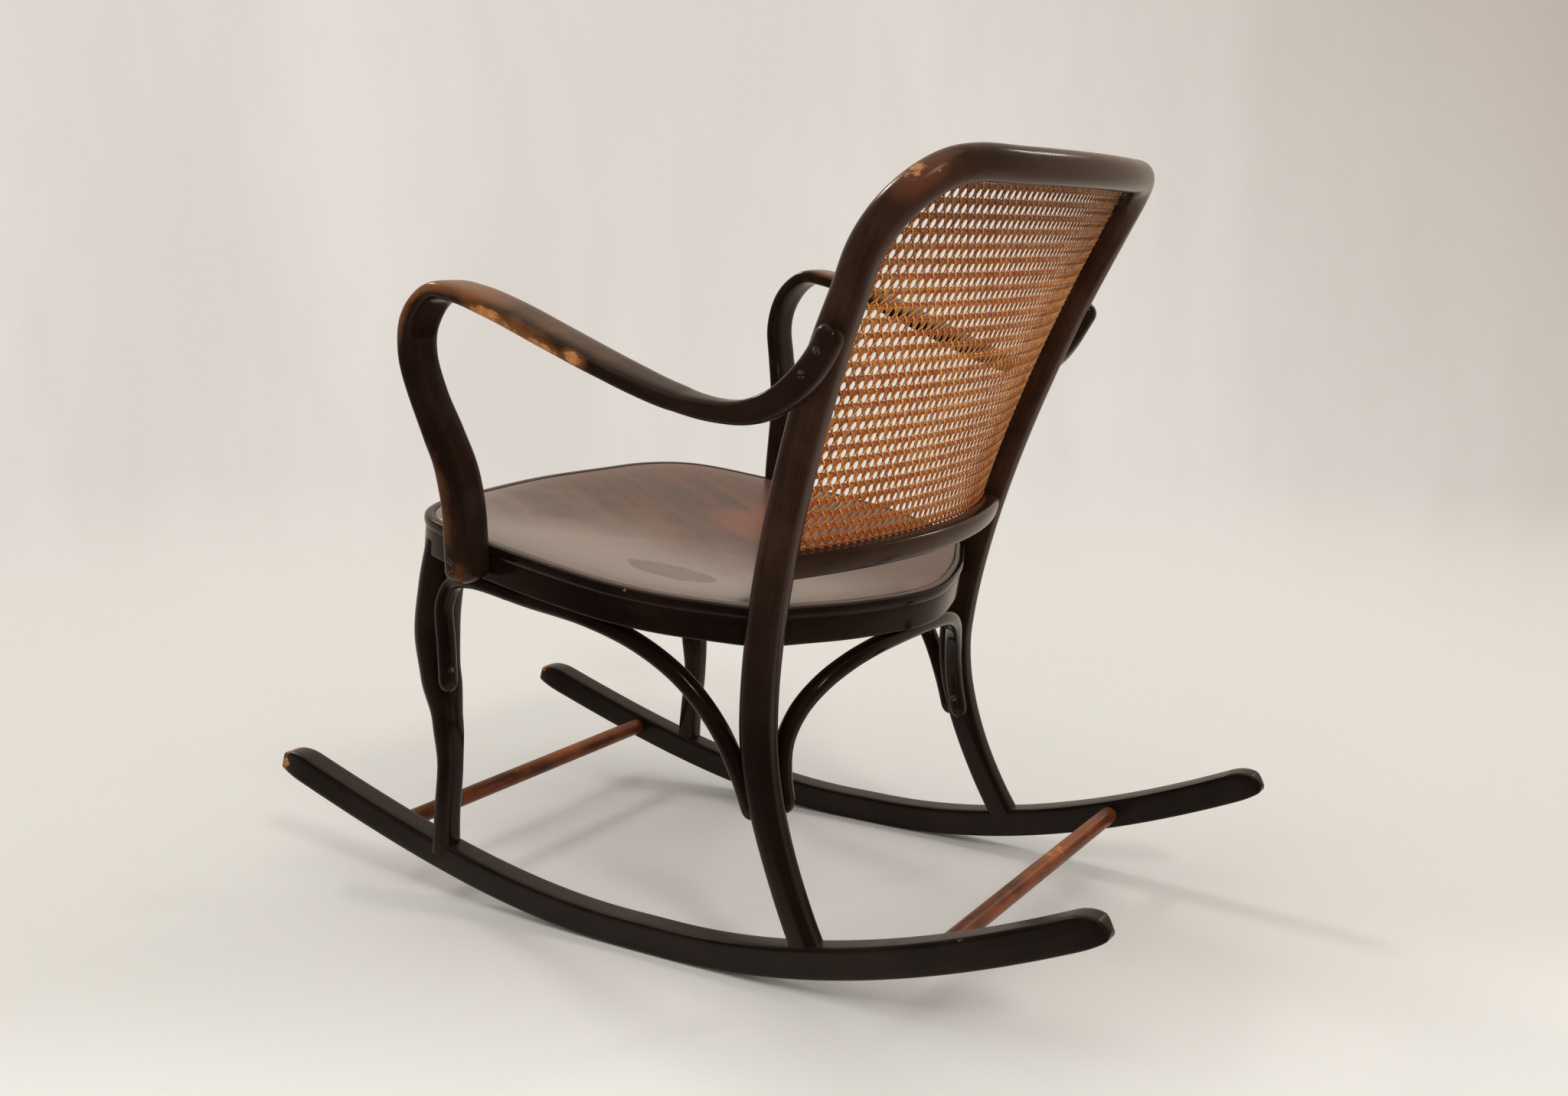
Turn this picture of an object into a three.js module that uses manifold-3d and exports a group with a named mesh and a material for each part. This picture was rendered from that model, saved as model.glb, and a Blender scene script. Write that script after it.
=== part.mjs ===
// Bentwood rocking armchair with a dished plywood seat and a woven cane back.
// Millimetres, +Z up. The chair faces -Y and is symmetric about the plane X = 0.
// The origin lies on the floor, under the middle of the bounding box.
import * as THREE from "three";
import { mergeVertices } from "three/addons/utils/BufferGeometryUtils.js";
import Module from "manifold-3d";

const wasm = await Module();
wasm.setup();

// Fits shared by all joints
const CLEARANCE = 0.3;
const CUT_OVERRUN = 12;

// Rockers: heights and reaches are measured from the point that touches the floor
const ROCKER_SPACING = 398;
const ROCKER_WIDE = 25;
const ROCKER_DEEP = 30;
const ROCKER_BEVEL = 3;
const ROCKER_FRONT_REACH = 482;
const ROCKER_REAR_REACH = 468;
const ROCKER_FRONT_RISE = 99;
const ROCKER_REAR_RISE = 115;
const ROCKER_FLAT = 50;
const ROCKER_FRONT_TIP = 36;
const ROCKER_REAR_TIP = 30;
const FRONT_STRAIGHTENING_SHARE = 0.45;
const REAR_STRAIGHTENING_SHARE = 0.173;
const ROCKER_STEP_COUNT = 10;
const ROCKER_TIP_SHARES = [1, 0.7, 0.4, 0.16, 0];

// Stretchers between the rockers
const STRETCHER_RADIUS = 9;
const STRETCHER_SOCKET = 12;
const FRONT_STRETCHER_AHEAD = 324;
const REAR_STRETCHER_BEHIND = 309;

// Seat ring: a bent hoop in a plane that falls towards the back
const SEAT_HEIGHT = 359;
const SEAT_FALL_DEGREES = 8;
const RING_OVER_ROCKER = 30;
const RING_HALF_WIDTH = ROCKER_SPACING / 2 + RING_OVER_ROCKER;
const RING_FRONT = 284;
const RING_REAR = 184;
const RING_THICK = 24;
const RING_TALL = 36;
const RING_ROUND = 2.5;
const BEAD_TALL = 9;
const BEAD_OUT = 1.8;
const REBATE_WIDE = 11;
const REBATE_DEEP = 7;
const RING_STATION_COUNT = 46;

// Seat panel
const PANEL_THICK = 6.2;
const PANEL_DISH = 15;
const PANEL_CENTRE_AHEAD = 40;
const PANEL_BRIM_SHARE = 0.945;
const PANEL_SPREAD_SHARES = [0.08, 0.36, 0.64, 0.84, PANEL_BRIM_SHARE, 1];

// Bow: rear legs, uprights and top rail in one bent rod
const BOW_WIDE = 24;
const BOW_DEEP = 27;
const TOP_RAIL_ROUND = 31;
const WAIST_HEIGHT = 225;
const WAIST_DRAWN_IN = 12;
const WAIST_HALF_WIDTH = ROCKER_SPACING / 2 - WAIST_DRAWN_IN;
const WAIST_BEHIND = 122;
const FOOT_KICK = 61;
const FOOT_BEND_SHARE = 1.9;
const SHOULDER_ABOVE_SEAT = 292;
const SHOULDER_HEIGHT = SEAT_HEIGHT + SHOULDER_ABOVE_SEAT;
const SHOULDER_SPLAY = 52;
const SPLAY_BEND_SHARE = 1.25;
const SHOULDER_LEAN = 137;
const LEAN_BEND_SHARE = 1.55;
const CROWN_RISE = 67;
const CROWN_HEIGHT = SHOULDER_HEIGHT + CROWN_RISE;
const CORNER_RADIUS = 68;
const BACK_HOLLOW = 48;
const ROUNDING_START_SHARE = 0.85;
const BOW_SQUARE_SHARE = 3.4;
const TOP_RAIL_SQUARE_SHARE = 2.1;

// Lower back rail and cane
const LOWER_RAIL_ABOVE_SEAT = 24;
const LOWER_RAIL_HEIGHT = SEAT_HEIGHT + LOWER_RAIL_ABOVE_SEAT;
const LOWER_RAIL_TALL = 23;
const LOWER_RAIL_DEEP = 20;
const LOWER_RAIL_SQUARE_SHARE = 2.8;
const CANE_THICK = 3;
const CANE_AHEAD = 7;
const CANE_TUCK = 5;
const CANE_EDGE = 12;
const CANE_COLUMN_COUNT = 12;
const CANE_ROW_COUNT = 9;
const HOLE_SHARE = 0.37;

// Front legs
const LEG_OUTWARD = 2;
const LEG_HALF_SPACING = ROCKER_SPACING / 2 + LEG_OUTWARD;
const LEG_SET_BACK = 38;
const LEG_AHEAD = RING_FRONT - LEG_SET_BACK;
const LEG_TOP_BACK = 16;
const LEG_SHIN_BACK = 5;
const LEG_FOOT_AHEAD = 7;
const LEG_KNEE = 38;
const LEG_ANKLE = 22;
const LEG_SQUARE_SHARE = 3;
const TENON_RADIUS = 7;
const TENON_LONG = 16;

// Arms: one flat band each, from the seat ring over the curl to the upright
const ARM_FOOT_BELOW_SEAT = 13;
const ARM_FOOT_HEIGHT = SEAT_HEIGHT - ARM_FOOT_BELOW_SEAT;
const ARM_RISE = 265.5;
const ARM_FRONT_AHEAD = 173;
const ARM_END_BEHIND = 8;
const ARM_FLARE = 35.5;
const ARM_POST_WIDE = 42;
const ARM_POST_RING_SHARE = 0.966;
const ARM_SQUARE_SHARE = 3.4;
const ARM_REST_WIDE = 51;
const ARM_END_WIDE = 22;
const ARM_FOOT_THICK = 26;
const ARM_REST_THICK = 16;
const ARM_END_THICK = 20;

// Braces
const BRACE_WIDE = 17;
const BRACE_DEEP = 16;
const BRACE_TIP = 12;
const BRACE_SQUARE_SHARE = 2.6;
const SIDE_BRACE_BELOW_SEAT = 137;
const SIDE_BRACE_REAR_END = 146;
const SIDE_BRACE_BEND = 30;
const REAR_BRACE_END = 150;

// Screws
const SCREW_HEAD_RADIUS = 4.2;
const SCREW_HEAD_TALL = 3;
const SCREW_SHANK_RADIUS = 2.2;
const SCREW_SLOT_WIDE = 1.2;
const SCREW_SLOT_DEEP = 1.4;
const ARM_FOOT_SCREW_LONG = 58;
const ARM_END_SCREW_LONG = 38;
const BRACE_SCREW_LONG = 30;
const SEAT_SCREW_LONG = 40;
const SEAT_SCREW_SHARE = 0.55;
const ARM_FOOT_SCREWS = [11, 23];
const ARM_END_SCREWS = [22, 46];
const RING_SCREW_ALONG = 190;
const BRACE_SCREW_IN = 24;
const NEAREST_TRY_COUNT = 240;

const X_AXIS = new THREE.Vector3(1, 0, 0);
const Y_AXIS = new THREE.Vector3(0, 1, 0);
const Z_AXIS = new THREE.Vector3(0, 0, 1);

const darkWood = { color: 0x2a1c16, roughness: 0.38, metalness: 0 };
const wornWood = { color: 0x6b3420, roughness: 0.5, metalness: 0 };
const seatWood = { color: 0x4a332b, roughness: 0.42, metalness: 0 };
const cane = { color: 0xb9793f, roughness: 0.6, metalness: 0 };
const steel = { color: 0x5a5148, roughness: 0.45, metalness: 0.8 };

// A manifold solid from a closed geometry
function solidFrom(geometry) {
  const bare = new THREE.BufferGeometry();
  const source = geometry.index ? geometry.toNonIndexed() : geometry;
  bare.setAttribute("position", source.getAttribute("position"));
  const merged = mergeVertices(bare, 1e-4);
  return new wasm.Manifold(
    new wasm.Mesh({
      numProp: 3,
      vertProperties: merged.attributes.position.array,
      triVerts: new Uint32Array(merged.index.array),
    }),
  );
}

// A three.js geometry from a manifold solid
function geometryFrom(solid) {
  const mesh = solid.getMesh();
  const geometry = new THREE.BufferGeometry();
  geometry.setAttribute("position", new THREE.BufferAttribute(mesh.vertProperties, 3));
  geometry.setIndex(new THREE.BufferAttribute(mesh.triVerts, 1));
  geometry.computeVertexNormals();
  return geometry;
}

// Closed surface through rings of points, capped at both ends or joined into a loop
function skin(rings, loop) {
  const sides = rings[0].length;
  const positions = [];
  const faces = [];
  rings.flat().forEach((p) => positions.push(p.x, p.y, p.z));
  const spans = loop ? rings.length : rings.length - 1;
  for (let i = 0; i < spans; i += 1) {
    const here = i * sides;
    const next = ((i + 1) % rings.length) * sides;
    for (let j = 0; j < sides; j += 1) {
      const k = (j + 1) % sides;
      faces.push(here + j, here + k, next + k);
      faces.push(here + j, next + k, next + j);
    }
  }
  if (!loop) {
    const last = (rings.length - 1) * sides;
    for (let j = 1; j < sides - 1; j += 1) {
      faces.push(0, j + 1, j);
      faces.push(last, last + j, last + j + 1);
    }
  }
  const geometry = new THREE.BufferGeometry();
  geometry.setAttribute("position", new THREE.Float32BufferAttribute(positions, 3));
  geometry.setIndex(faces);
  return geometry;
}

// Section outlines are lists of points: x along the wide direction, y along the deep one
function roundedSection(wide, deep, squareness, sides) {
  return Array.from({ length: sides }, (_, i) => {
    const turn = ((i + 0.5) / sides) * 2 * Math.PI;
    const c = Math.cos(turn);
    const s = Math.sin(turn);
    const power = 2 / squareness;
    const x = (Math.sign(c) * Math.abs(c) ** power * wide) / 2;
    const y = (Math.sign(s) * Math.abs(s) ** power * deep) / 2;
    return new THREE.Vector2(x, y);
  });
}

function bevelledSection(wide, deep, bevel) {
  const a = wide / 2;
  const b = deep / 2;
  return [
    new THREE.Vector2(a, b - bevel),
    new THREE.Vector2(a - bevel, b),
    new THREE.Vector2(bevel - a, b),
    new THREE.Vector2(-a, b - bevel),
    new THREE.Vector2(-a, bevel - b),
    new THREE.Vector2(bevel - a, -b),
    new THREE.Vector2(a - bevel, -b),
    new THREE.Vector2(a, bevel - b),
  ];
}

// Sweeps a changing section along a curve. The section's wide direction follows the guide.
function loft(curve, stations, guide, sectionAt, loop = false) {
  const rings = stations.map((share) => {
    const centre = curve.getPointAt(share);
    const tangent = curve.getTangentAt(share);
    const wide = guide.clone().addScaledVector(tangent, -guide.dot(tangent)).normalize();
    const deep = new THREE.Vector3().crossVectors(tangent, wide);
    return sectionAt(share).map((p) =>
      centre.clone().addScaledVector(wide, p.x).addScaledVector(deep, p.y),
    );
  });
  return skin(rings, loop);
}

// Even stations, with closer ones over the last stretch at each end for a rounded tip
function tippedStations(count, length, tip) {
  const tipShare = tip / length;
  const near = [0, 0.15, 0.45].map((share) => share * tipShare);
  const even = Array.from({ length: count + 1 }, (_, i) => {
    return tipShare + (i / count) * (1 - 2 * tipShare);
  });
  return [...near, ...even, ...near.map((share) => 1 - share).reverse()];
}

function evenStations(count) {
  return Array.from({ length: count + 1 }, (_, i) => i / count);
}

// Shrinks a section towards the end of a rod, as a quarter circle does
function tipScale(distance, tip, leastShare) {
  const inside = Math.min(distance / tip, 1);
  return leastShare + (1 - leastShare) * Math.sqrt(1 - (1 - inside) ** 2);
}

function fromEnd(share, length) {
  return Math.min(share, 1 - share) * length;
}

// Value between rows of a table of shares
function between(table, share) {
  const place = share * (table.length - 1);
  const i = Math.min(Math.floor(place), table.length - 2);
  const blend = THREE.MathUtils.smoothstep(place - i, 0, 1);
  return table[i] + (table[i + 1] - table[i]) * blend;
}

function mirrored(solid) {
  return solid.mirror([1, 0, 0]);
}

// Height of a rocker's underside above the floor
function rockerUnderside(y) {
  const reach = y < 0 ? ROCKER_FRONT_REACH : ROCKER_REAR_REACH;
  const rise = y < 0 ? ROCKER_FRONT_RISE : ROCKER_REAR_RISE;
  const straightening = y < 0 ? FRONT_STRAIGHTENING_SHARE : REAR_STRAIGHTENING_SHARE;
  const flat = ROCKER_FLAT / 2;
  const s = Math.max(0, Math.abs(y) - flat) / (reach - flat);
  return rise * (s ** 2 * (1 + straightening) - straightening * s ** 3);
}

// Direction square to the rocker at a place along it
function rockerUp(y) {
  const step = ROCKER_BEVEL;
  const slope = (rockerUnderside(y + step) - rockerUnderside(y - step)) / (2 * step);
  return new THREE.Vector3(0, -slope, 1).normalize();
}

function rockerPlaces() {
  const flat = ROCKER_FLAT / 2;
  const half = (reach, tip) => {
    const body = Array.from({ length: ROCKER_STEP_COUNT }, (_, i) => {
      return flat + ((reach - tip - flat) * i) / ROCKER_STEP_COUNT;
    });
    return [...body, ...ROCKER_TIP_SHARES.map((share) => reach - tip * share)];
  };
  const front = half(ROCKER_FRONT_REACH, ROCKER_FRONT_TIP).map((y) => -y);
  return [...front.reverse(), ...half(ROCKER_REAR_REACH, ROCKER_REAR_TIP)];
}

// One rocker, or the space round it that a leg's foot is cut to
function rockerSolid(sectionAt) {
  const x = ROCKER_SPACING / 2;
  const rings = rockerPlaces().map((y) => {
    const up = rockerUp(y);
    const base = new THREE.Vector3(x, y, rockerUnderside(y));
    return sectionAt(y).map((p) => {
      return base.clone().addScaledVector(X_AXIS, p.x).addScaledVector(up, p.y);
    });
  });
  return solidFrom(skin(rings.reverse(), false));
}

// The tips are rounded, mostly from above
const TIP_TOP_LEAST_SHARE = 0.42;
const TIP_FOOT_SHARE = 0.16;
const TIP_WIDE_LEAST_SHARE = 0.6;

function rockerBody() {
  return rockerSolid((y) => {
    const reach = y < 0 ? ROCKER_FRONT_REACH : ROCKER_REAR_REACH;
    const tip = y < 0 ? ROCKER_FRONT_TIP : ROCKER_REAR_TIP;
    const round = (least) => tipScale(reach - Math.abs(y), tip, least);
    const top = ROCKER_DEEP * round(TIP_TOP_LEAST_SHARE);
    const low = ROCKER_DEEP * TIP_FOOT_SHARE * (1 - round(0));
    const wide = ROCKER_WIDE * round(TIP_WIDE_LEAST_SHARE);
    const bevel = ROCKER_BEVEL * round(TIP_WIDE_LEAST_SHARE);
    const section = bevelledSection(wide, top - low, bevel);
    return section.map((p) => p.add(new THREE.Vector2(0, (top + low) / 2)));
  });
}

function footCutter() {
  const side = ROCKER_WIDE / 2 + CUT_OVERRUN;
  const top = ROCKER_DEEP + CLEARANCE;
  return rockerSolid(() => [
    new THREE.Vector2(side, top),
    new THREE.Vector2(-side, top),
    new THREE.Vector2(-side, -CUT_OVERRUN),
    new THREE.Vector2(side, -CUT_OVERRUN),
  ]);
}

// A round peg standing on a point along a direction
function peg(base, direction, radius, length) {
  const cylinder = new THREE.CylinderGeometry(radius, radius, length, 12);
  cylinder.translate(0, length / 2, 0);
  cylinder.applyQuaternion(new THREE.Quaternion().setFromUnitVectors(Y_AXIS, direction));
  cylinder.translate(base.x, base.y, base.z);
  return solidFrom(cylinder);
}

function stretcherPlace(y) {
  const up = rockerUp(y);
  return new THREE.Vector3(0, y, rockerUnderside(y)).addScaledVector(up, ROCKER_DEEP / 2);
}

function stretcherLength() {
  return ROCKER_SPACING - ROCKER_WIDE + 2 * STRETCHER_SOCKET;
}

function stretcherSolid(y, grow) {
  const length = stretcherLength() + 2 * grow;
  const base = stretcherPlace(y).addScaledVector(X_AXIS, -length / 2);
  return peg(base, X_AXIS, STRETCHER_RADIUS + grow, length);
}

// Seat plane: along runs back down the slope, out is to the side, up is square to the seat
function seatMatrix() {
  const fall = THREE.MathUtils.degToRad(SEAT_FALL_DEGREES);
  const matrix = new THREE.Matrix4().makeRotationX(-fall);
  return matrix.setPosition(0, 0, SEAT_HEIGHT);
}

function seatUp() {
  return Z_AXIS.clone().transformDirection(seatMatrix());
}

function seatPoint(out, along, up) {
  return new THREE.Vector3(out, along, up).applyMatrix4(seatMatrix());
}

const RING_OUTLINE_SHARES = [
  [0, -1],
  [0.38, -0.978],
  [0.71, -0.94],
  [0.88, -0.845],
  [0.965, -0.56],
  [1, -0.27],
  [0.996, 0],
  [0.948, 0.25],
  [0.867, 0.465],
  [0.783, 0.64],
  [0.632, 0.783],
  [0.39, 0.9],
  [0, 1],
];

function ringCurve() {
  const half = RING_OUTLINE_SHARES.map(([across, along]) => {
    const y = along * (along < 0 ? RING_FRONT : RING_REAR);
    return new THREE.Vector3(across * RING_HALF_WIDTH, y, 0);
  });
  const other = half.slice(1, -1).reverse();
  const mirroredHalf = other.map((p) => new THREE.Vector3(-p.x, p.y, 0));
  return new THREE.CatmullRomCurve3([...half, ...mirroredHalf], true, "centripetal");
}

// Section of the ring: x up from the seat plane, y towards the outside
function ringSection(grow) {
  const face = RING_THICK / 2 + grow;
  const top = grow;
  const low = -RING_TALL - grow;
  const bead = face + BEAD_OUT;
  const rebate = grow > 0 ? top : -REBATE_DEEP;
  const edge = REBATE_WIDE - face;
  return [
    [low, -face + RING_ROUND],
    [low + RING_ROUND, -face],
    [rebate, -face],
    [rebate, edge],
    [top - RING_ROUND / 2, edge],
    [top, edge + RING_ROUND],
    [top, bead - BEAD_TALL / 2],
    [top - BEAD_TALL / 6, bead - BEAD_TALL / 6],
    [top - BEAD_TALL / 2, bead],
    [top - BEAD_TALL, bead - BEAD_OUT / 2],
    [top - BEAD_TALL - BEAD_OUT, face],
    [low + RING_ROUND, face],
    [low, face - RING_ROUND],
  ].map(([up, out]) => new THREE.Vector2(up, out));
}

function ringSolid(grow) {
  const stations = evenStations(RING_STATION_COUNT).slice(0, -1);
  const section = ringSection(grow);
  const ring = loft(ringCurve(), stations, Z_AXIS, () => section, true);
  return solidFrom(ring.applyMatrix4(seatMatrix()));
}

// Dished plywood panel, built as rings of points from its edge to its middle
function panelSolid() {
  const stations = evenStations(RING_STATION_COUNT).slice(0, -1);
  const curve = ringCurve();
  const inset = RING_THICK / 2 - REBATE_WIDE + CLEARANCE;
  const middle = new THREE.Vector3(0, -PANEL_CENTRE_AHEAD, 0);
  const edge = stations.map((share) => {
    const inward = new THREE.Vector3().crossVectors(Z_AXIS, curve.getTangentAt(share));
    return curve.getPointAt(share).addScaledVector(inward, inset);
  });
  const level = (spread, drop) =>
    edge.map((p) => {
      const q = middle.clone().lerp(p, spread);
      q.z = -PANEL_DISH * (1 - Math.min(1, spread / PANEL_BRIM_SHARE) ** 2) ** 1.5 - drop;
      return q;
    });
  const under = PANEL_SPREAD_SHARES.map((spread) => level(spread, PANEL_THICK + CLEARANCE));
  const over = PANEL_SPREAD_SHARES.map((spread) => level(spread, CLEARANCE)).reverse();
  const skinned = skin([...under, ...over], false);
  return solidFrom(skinned.applyMatrix4(seatMatrix()));
}

// How far a height is from the waist towards the foot, and towards the shoulder
function footShare(z) {
  return (WAIST_HEIGHT - z) / (WAIST_HEIGHT - ROCKER_DEEP);
}

function uprightShare(z) {
  return (z - WAIST_HEIGHT) / (SHOULDER_HEIGHT - WAIST_HEIGHT);
}

// Half width and depth of the bow's centre line at a height
function bowHalfWidth(z) {
  if (z < WAIST_HEIGHT) {
    return WAIST_HALF_WIDTH + WAIST_DRAWN_IN * footShare(z) ** FOOT_BEND_SHARE;
  }
  return WAIST_HALF_WIDTH + SHOULDER_SPLAY * uprightShare(z) ** SPLAY_BEND_SHARE;
}

function bowBehind(z) {
  if (z < WAIST_HEIGHT) {
    return WAIST_BEHIND + FOOT_KICK * footShare(z) ** FOOT_BEND_SHARE;
  }
  return WAIST_BEHIND + SHOULDER_LEAN * uprightShare(z) ** LEAN_BEND_SHARE;
}

// A point of the hollowed back, whose middle lies behind its sides
function backPoint(x, z, behind) {
  const bulge = BACK_HOLLOW * (1 - (x / bowHalfWidth(z)) ** 2);
  return new THREE.Vector3(x, bowBehind(z) + bulge + behind, z);
}

function uprightPoint(z) {
  return new THREE.Vector3(bowHalfWidth(z), bowBehind(z), z);
}

const CORNER_TURN_SHARES = [0.25, 0.5, 0.75, 1];
const TOP_RAIL_SHARES = [0.66, 0.33];

function bowCurve() {
  const side = evenStations(18).map((share) => {
    return uprightPoint(THREE.MathUtils.lerp(ROCKER_DEEP, SHOULDER_HEIGHT, share));
  });
  const shoulder = bowHalfWidth(SHOULDER_HEIGHT);
  const corner = CORNER_TURN_SHARES.map((share) => {
    const turn = (share * Math.PI) / 2;
    const x = shoulder - CORNER_RADIUS * (1 - Math.cos(turn));
    return backPoint(x, SHOULDER_HEIGHT + CROWN_RISE * Math.sin(turn), 0);
  });
  const railEnd = shoulder - CORNER_RADIUS;
  const rail = TOP_RAIL_SHARES.map((share) => backPoint(railEnd * share, CROWN_HEIGHT, 0));
  const half = [...side, ...corner, ...rail];
  const crown = backPoint(0, CROWN_HEIGHT, 0);
  const otherHalf = half.map((p) => new THREE.Vector3(-p.x, p.y, p.z)).reverse();
  return new THREE.CatmullRomCurve3([...half, crown, ...otherHalf], false, "centripetal");
}

function bowSolid(grow) {
  const curve = bowCurve();
  const swell = TOP_RAIL_ROUND - BOW_WIDE;
  const sectionAt = (share) => {
    const z = curve.getPointAt(share).z;
    const start = SHOULDER_HEIGHT * ROUNDING_START_SHARE;
    const round = THREE.MathUtils.smoothstep(z, start, CROWN_HEIGHT);
    const wide = BOW_DEEP + (TOP_RAIL_ROUND - BOW_DEEP) * round + 2 * grow;
    const deep = BOW_WIDE + swell * round + 2 * grow;
    const square = THREE.MathUtils.lerp(BOW_SQUARE_SHARE, TOP_RAIL_SQUARE_SHARE, round);
    return roundedSection(wide, deep, square, 10);
  };
  return solidFrom(loft(curve, evenStations(64), Y_AXIS, sectionAt));
}

// The two feet of the bow stand on the rockers
function bowFoot() {
  return standOnRocker(uprightPoint(ROCKER_DEEP));
}

// The place on top of a rocker at a point's distance along it
function standOnRocker(point) {
  const up = rockerUp(point.y);
  const base = new THREE.Vector3(point.x, point.y, rockerUnderside(point.y));
  return base.addScaledVector(up, ROCKER_DEEP);
}

// Curve of the lower back rail
function lowerRailCurve() {
  const end = bowHalfWidth(LOWER_RAIL_HEIGHT);
  const points = evenStations(8).map((share) => {
    return backPoint(THREE.MathUtils.lerp(-end, end, share), LOWER_RAIL_HEIGHT, 0);
  });
  return new THREE.CatmullRomCurve3(points, false, "centripetal");
}

function lowerRailSolid(grow) {
  const tall = LOWER_RAIL_TALL + 2 * grow;
  const deep = LOWER_RAIL_DEEP + 2 * grow;
  const section = roundedSection(tall, deep, LOWER_RAIL_SQUARE_SHARE, 8);
  const backSlope = bowBehind(LOWER_RAIL_HEIGHT + CORNER_RADIUS) - bowBehind(LOWER_RAIL_HEIGHT);
  const guide = new THREE.Vector3(0, backSlope, CORNER_RADIUS).normalize();
  return solidFrom(loft(lowerRailCurve(), evenStations(18), guide, () => section));
}

const CANE_CORNER_SHARES = [0.4, 0.75, 1];

// Half width and height of the cane's rows, from the lower rail up round the corners
function caneRows(inset) {
  const low = LOWER_RAIL_HEIGHT + LOWER_RAIL_TALL / 2 + inset;
  const high = CROWN_HEIGHT - TOP_RAIL_ROUND / 2 - inset;
  const radius = CORNER_RADIUS - TOP_RAIL_ROUND / 2 - inset;
  const edgeAt = (z) => bowHalfWidth(z) - BOW_WIDE / 2 - inset;
  const brim = low + CANE_TUCK + CANE_EDGE;
  const field = Array.from({ length: CANE_ROW_COUNT + 1 }, (_, i) => {
    return brim + ((SHOULDER_HEIGHT - brim) * i) / CANE_ROW_COUNT;
  });
  const side = [low, ...field].map((z) => new THREE.Vector2(edgeAt(z), z));
  const corner = CANE_CORNER_SHARES.map((share) => {
    const turn = (share * Math.PI) / 2;
    const x = edgeAt(SHOULDER_HEIGHT) - radius * (1 - Math.cos(turn));
    return new THREE.Vector2(x, SHOULDER_HEIGHT + (high - SHOULDER_HEIGHT) * Math.sin(turn));
  });
  return [...side, ...corner];
}

// Places across a row: a plain edge on each side and even columns between
function canePlaces(half) {
  const field = half - CANE_TUCK - CANE_EDGE;
  const columns = Array.from({ length: CANE_COLUMN_COUNT + 1 }, (_, i) => {
    return field * ((2 * i) / CANE_COLUMN_COUNT - 1);
  });
  return [-half, ...columns, half];
}

// A cell's faces by corner (0 to 3) and by point of its six-sided opening (4 to 9)
const OPEN_CELL = [
  [2, 5, 4],
  [3, 6, 5],
  [0, 8, 7],
  [1, 9, 8],
  [3, 0, 7],
  [3, 7, 6],
  [1, 2, 4],
  [1, 4, 9],
  [2, 3, 5],
  [0, 1, 8],
];
const HOLE_CORNER_COUNT = 6;
const CLOSED_CELL = [
  [0, 1, 2],
  [0, 2, 3],
];

// Hollow sheet the shape of the cane: the open cane itself, or the groove that holds its edge
function caneSheet(inset, thick, open) {
  const rows = caneRows(inset);
  const places = rows.map((row) => canePlaces(row.x));
  const positions = [];
  const faces = [];
  const lay = (x, z) => {
    [-thick / 2, thick / 2].forEach((offset) => {
      const p = backPoint(x, z, offset - CANE_AHEAD);
      positions.push(p.x, p.y, p.z);
    });
    return positions.length / 3 - 2;
  };
  const wall = (a, b) => faces.push(a + 1, b + 1, b, a + 1, b, a);
  const grid = rows.map((row, i) => places[i].map((x) => lay(x, row.y)));
  const last = rows.length - 1;
  const end = places[0].length - 1;
  const cellPoint = (i, j, across, up) => {
    const low = THREE.MathUtils.lerp(places[i][j], places[i][j + 1], across);
    const high = THREE.MathUtils.lerp(places[i + 1][j], places[i + 1][j + 1], across);
    return lay(
      THREE.MathUtils.lerp(low, high, up),
      THREE.MathUtils.lerp(rows[i].y, rows[i + 1].y, up),
    );
  };
  for (let i = 0; i < last; i += 1) {
    for (let j = 0; j < end; j += 1) {
      const hasHole = open && i > 0 && i < last - 1 && j > 0 && j < end - 1;
      const cell = [grid[i][j], grid[i][j + 1], grid[i + 1][j + 1], grid[i + 1][j]];
      if (hasHole) {
        const rim = Array.from({ length: HOLE_CORNER_COUNT }, (_, k) => {
          const turn = ((k + 0.5) / HOLE_CORNER_COUNT) * 2 * Math.PI;
          const across = 0.5 + HOLE_SHARE * Math.cos(turn);
          return cellPoint(i, j, across, 0.5 + HOLE_SHARE * Math.sin(turn));
        });
        rim.forEach((a, k) => wall(rim[(k + 1) % HOLE_CORNER_COUNT], a));
        cell.push(...rim);
      }
      (hasHole ? OPEN_CELL : CLOSED_CELL).forEach(([a, b, c]) => {
        faces.push(cell[a], cell[b], cell[c]);
        faces.push(cell[a] + 1, cell[c] + 1, cell[b] + 1);
      });
    }
    wall(grid[i + 1][0], grid[i][0]);
    wall(grid[i][end], grid[i + 1][end]);
  }
  for (let j = 0; j < end; j += 1) {
    wall(grid[0][j], grid[0][j + 1]);
    wall(grid[last][j + 1], grid[last][j]);
  }
  const geometry = new THREE.BufferGeometry();
  geometry.setAttribute("position", new THREE.Float32BufferAttribute(positions, 3));
  geometry.setIndex(faces);
  return solidFrom(geometry);
}

// Front leg: a swelling knee under the ring, a slim shin and a foot turned forward
const LEG_HEIGHT_SHARES = [0, 0.14, 0.3, 0.46, 0.6, 0.73, 0.87, 1];
const LEG_SET_SHARES = [-1, -0.3, 1, 0.75, -0.35, -0.45, 1, 3.2];
const LEG_SWELL_SHARES = [0.1, 0, 0, 0.25, 0.75, 1, 0.95, 0.85];

function legTop() {
  return seatPoint(LEG_HALF_SPACING, -LEG_AHEAD + LEG_TOP_BACK, -RING_TALL);
}

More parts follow.
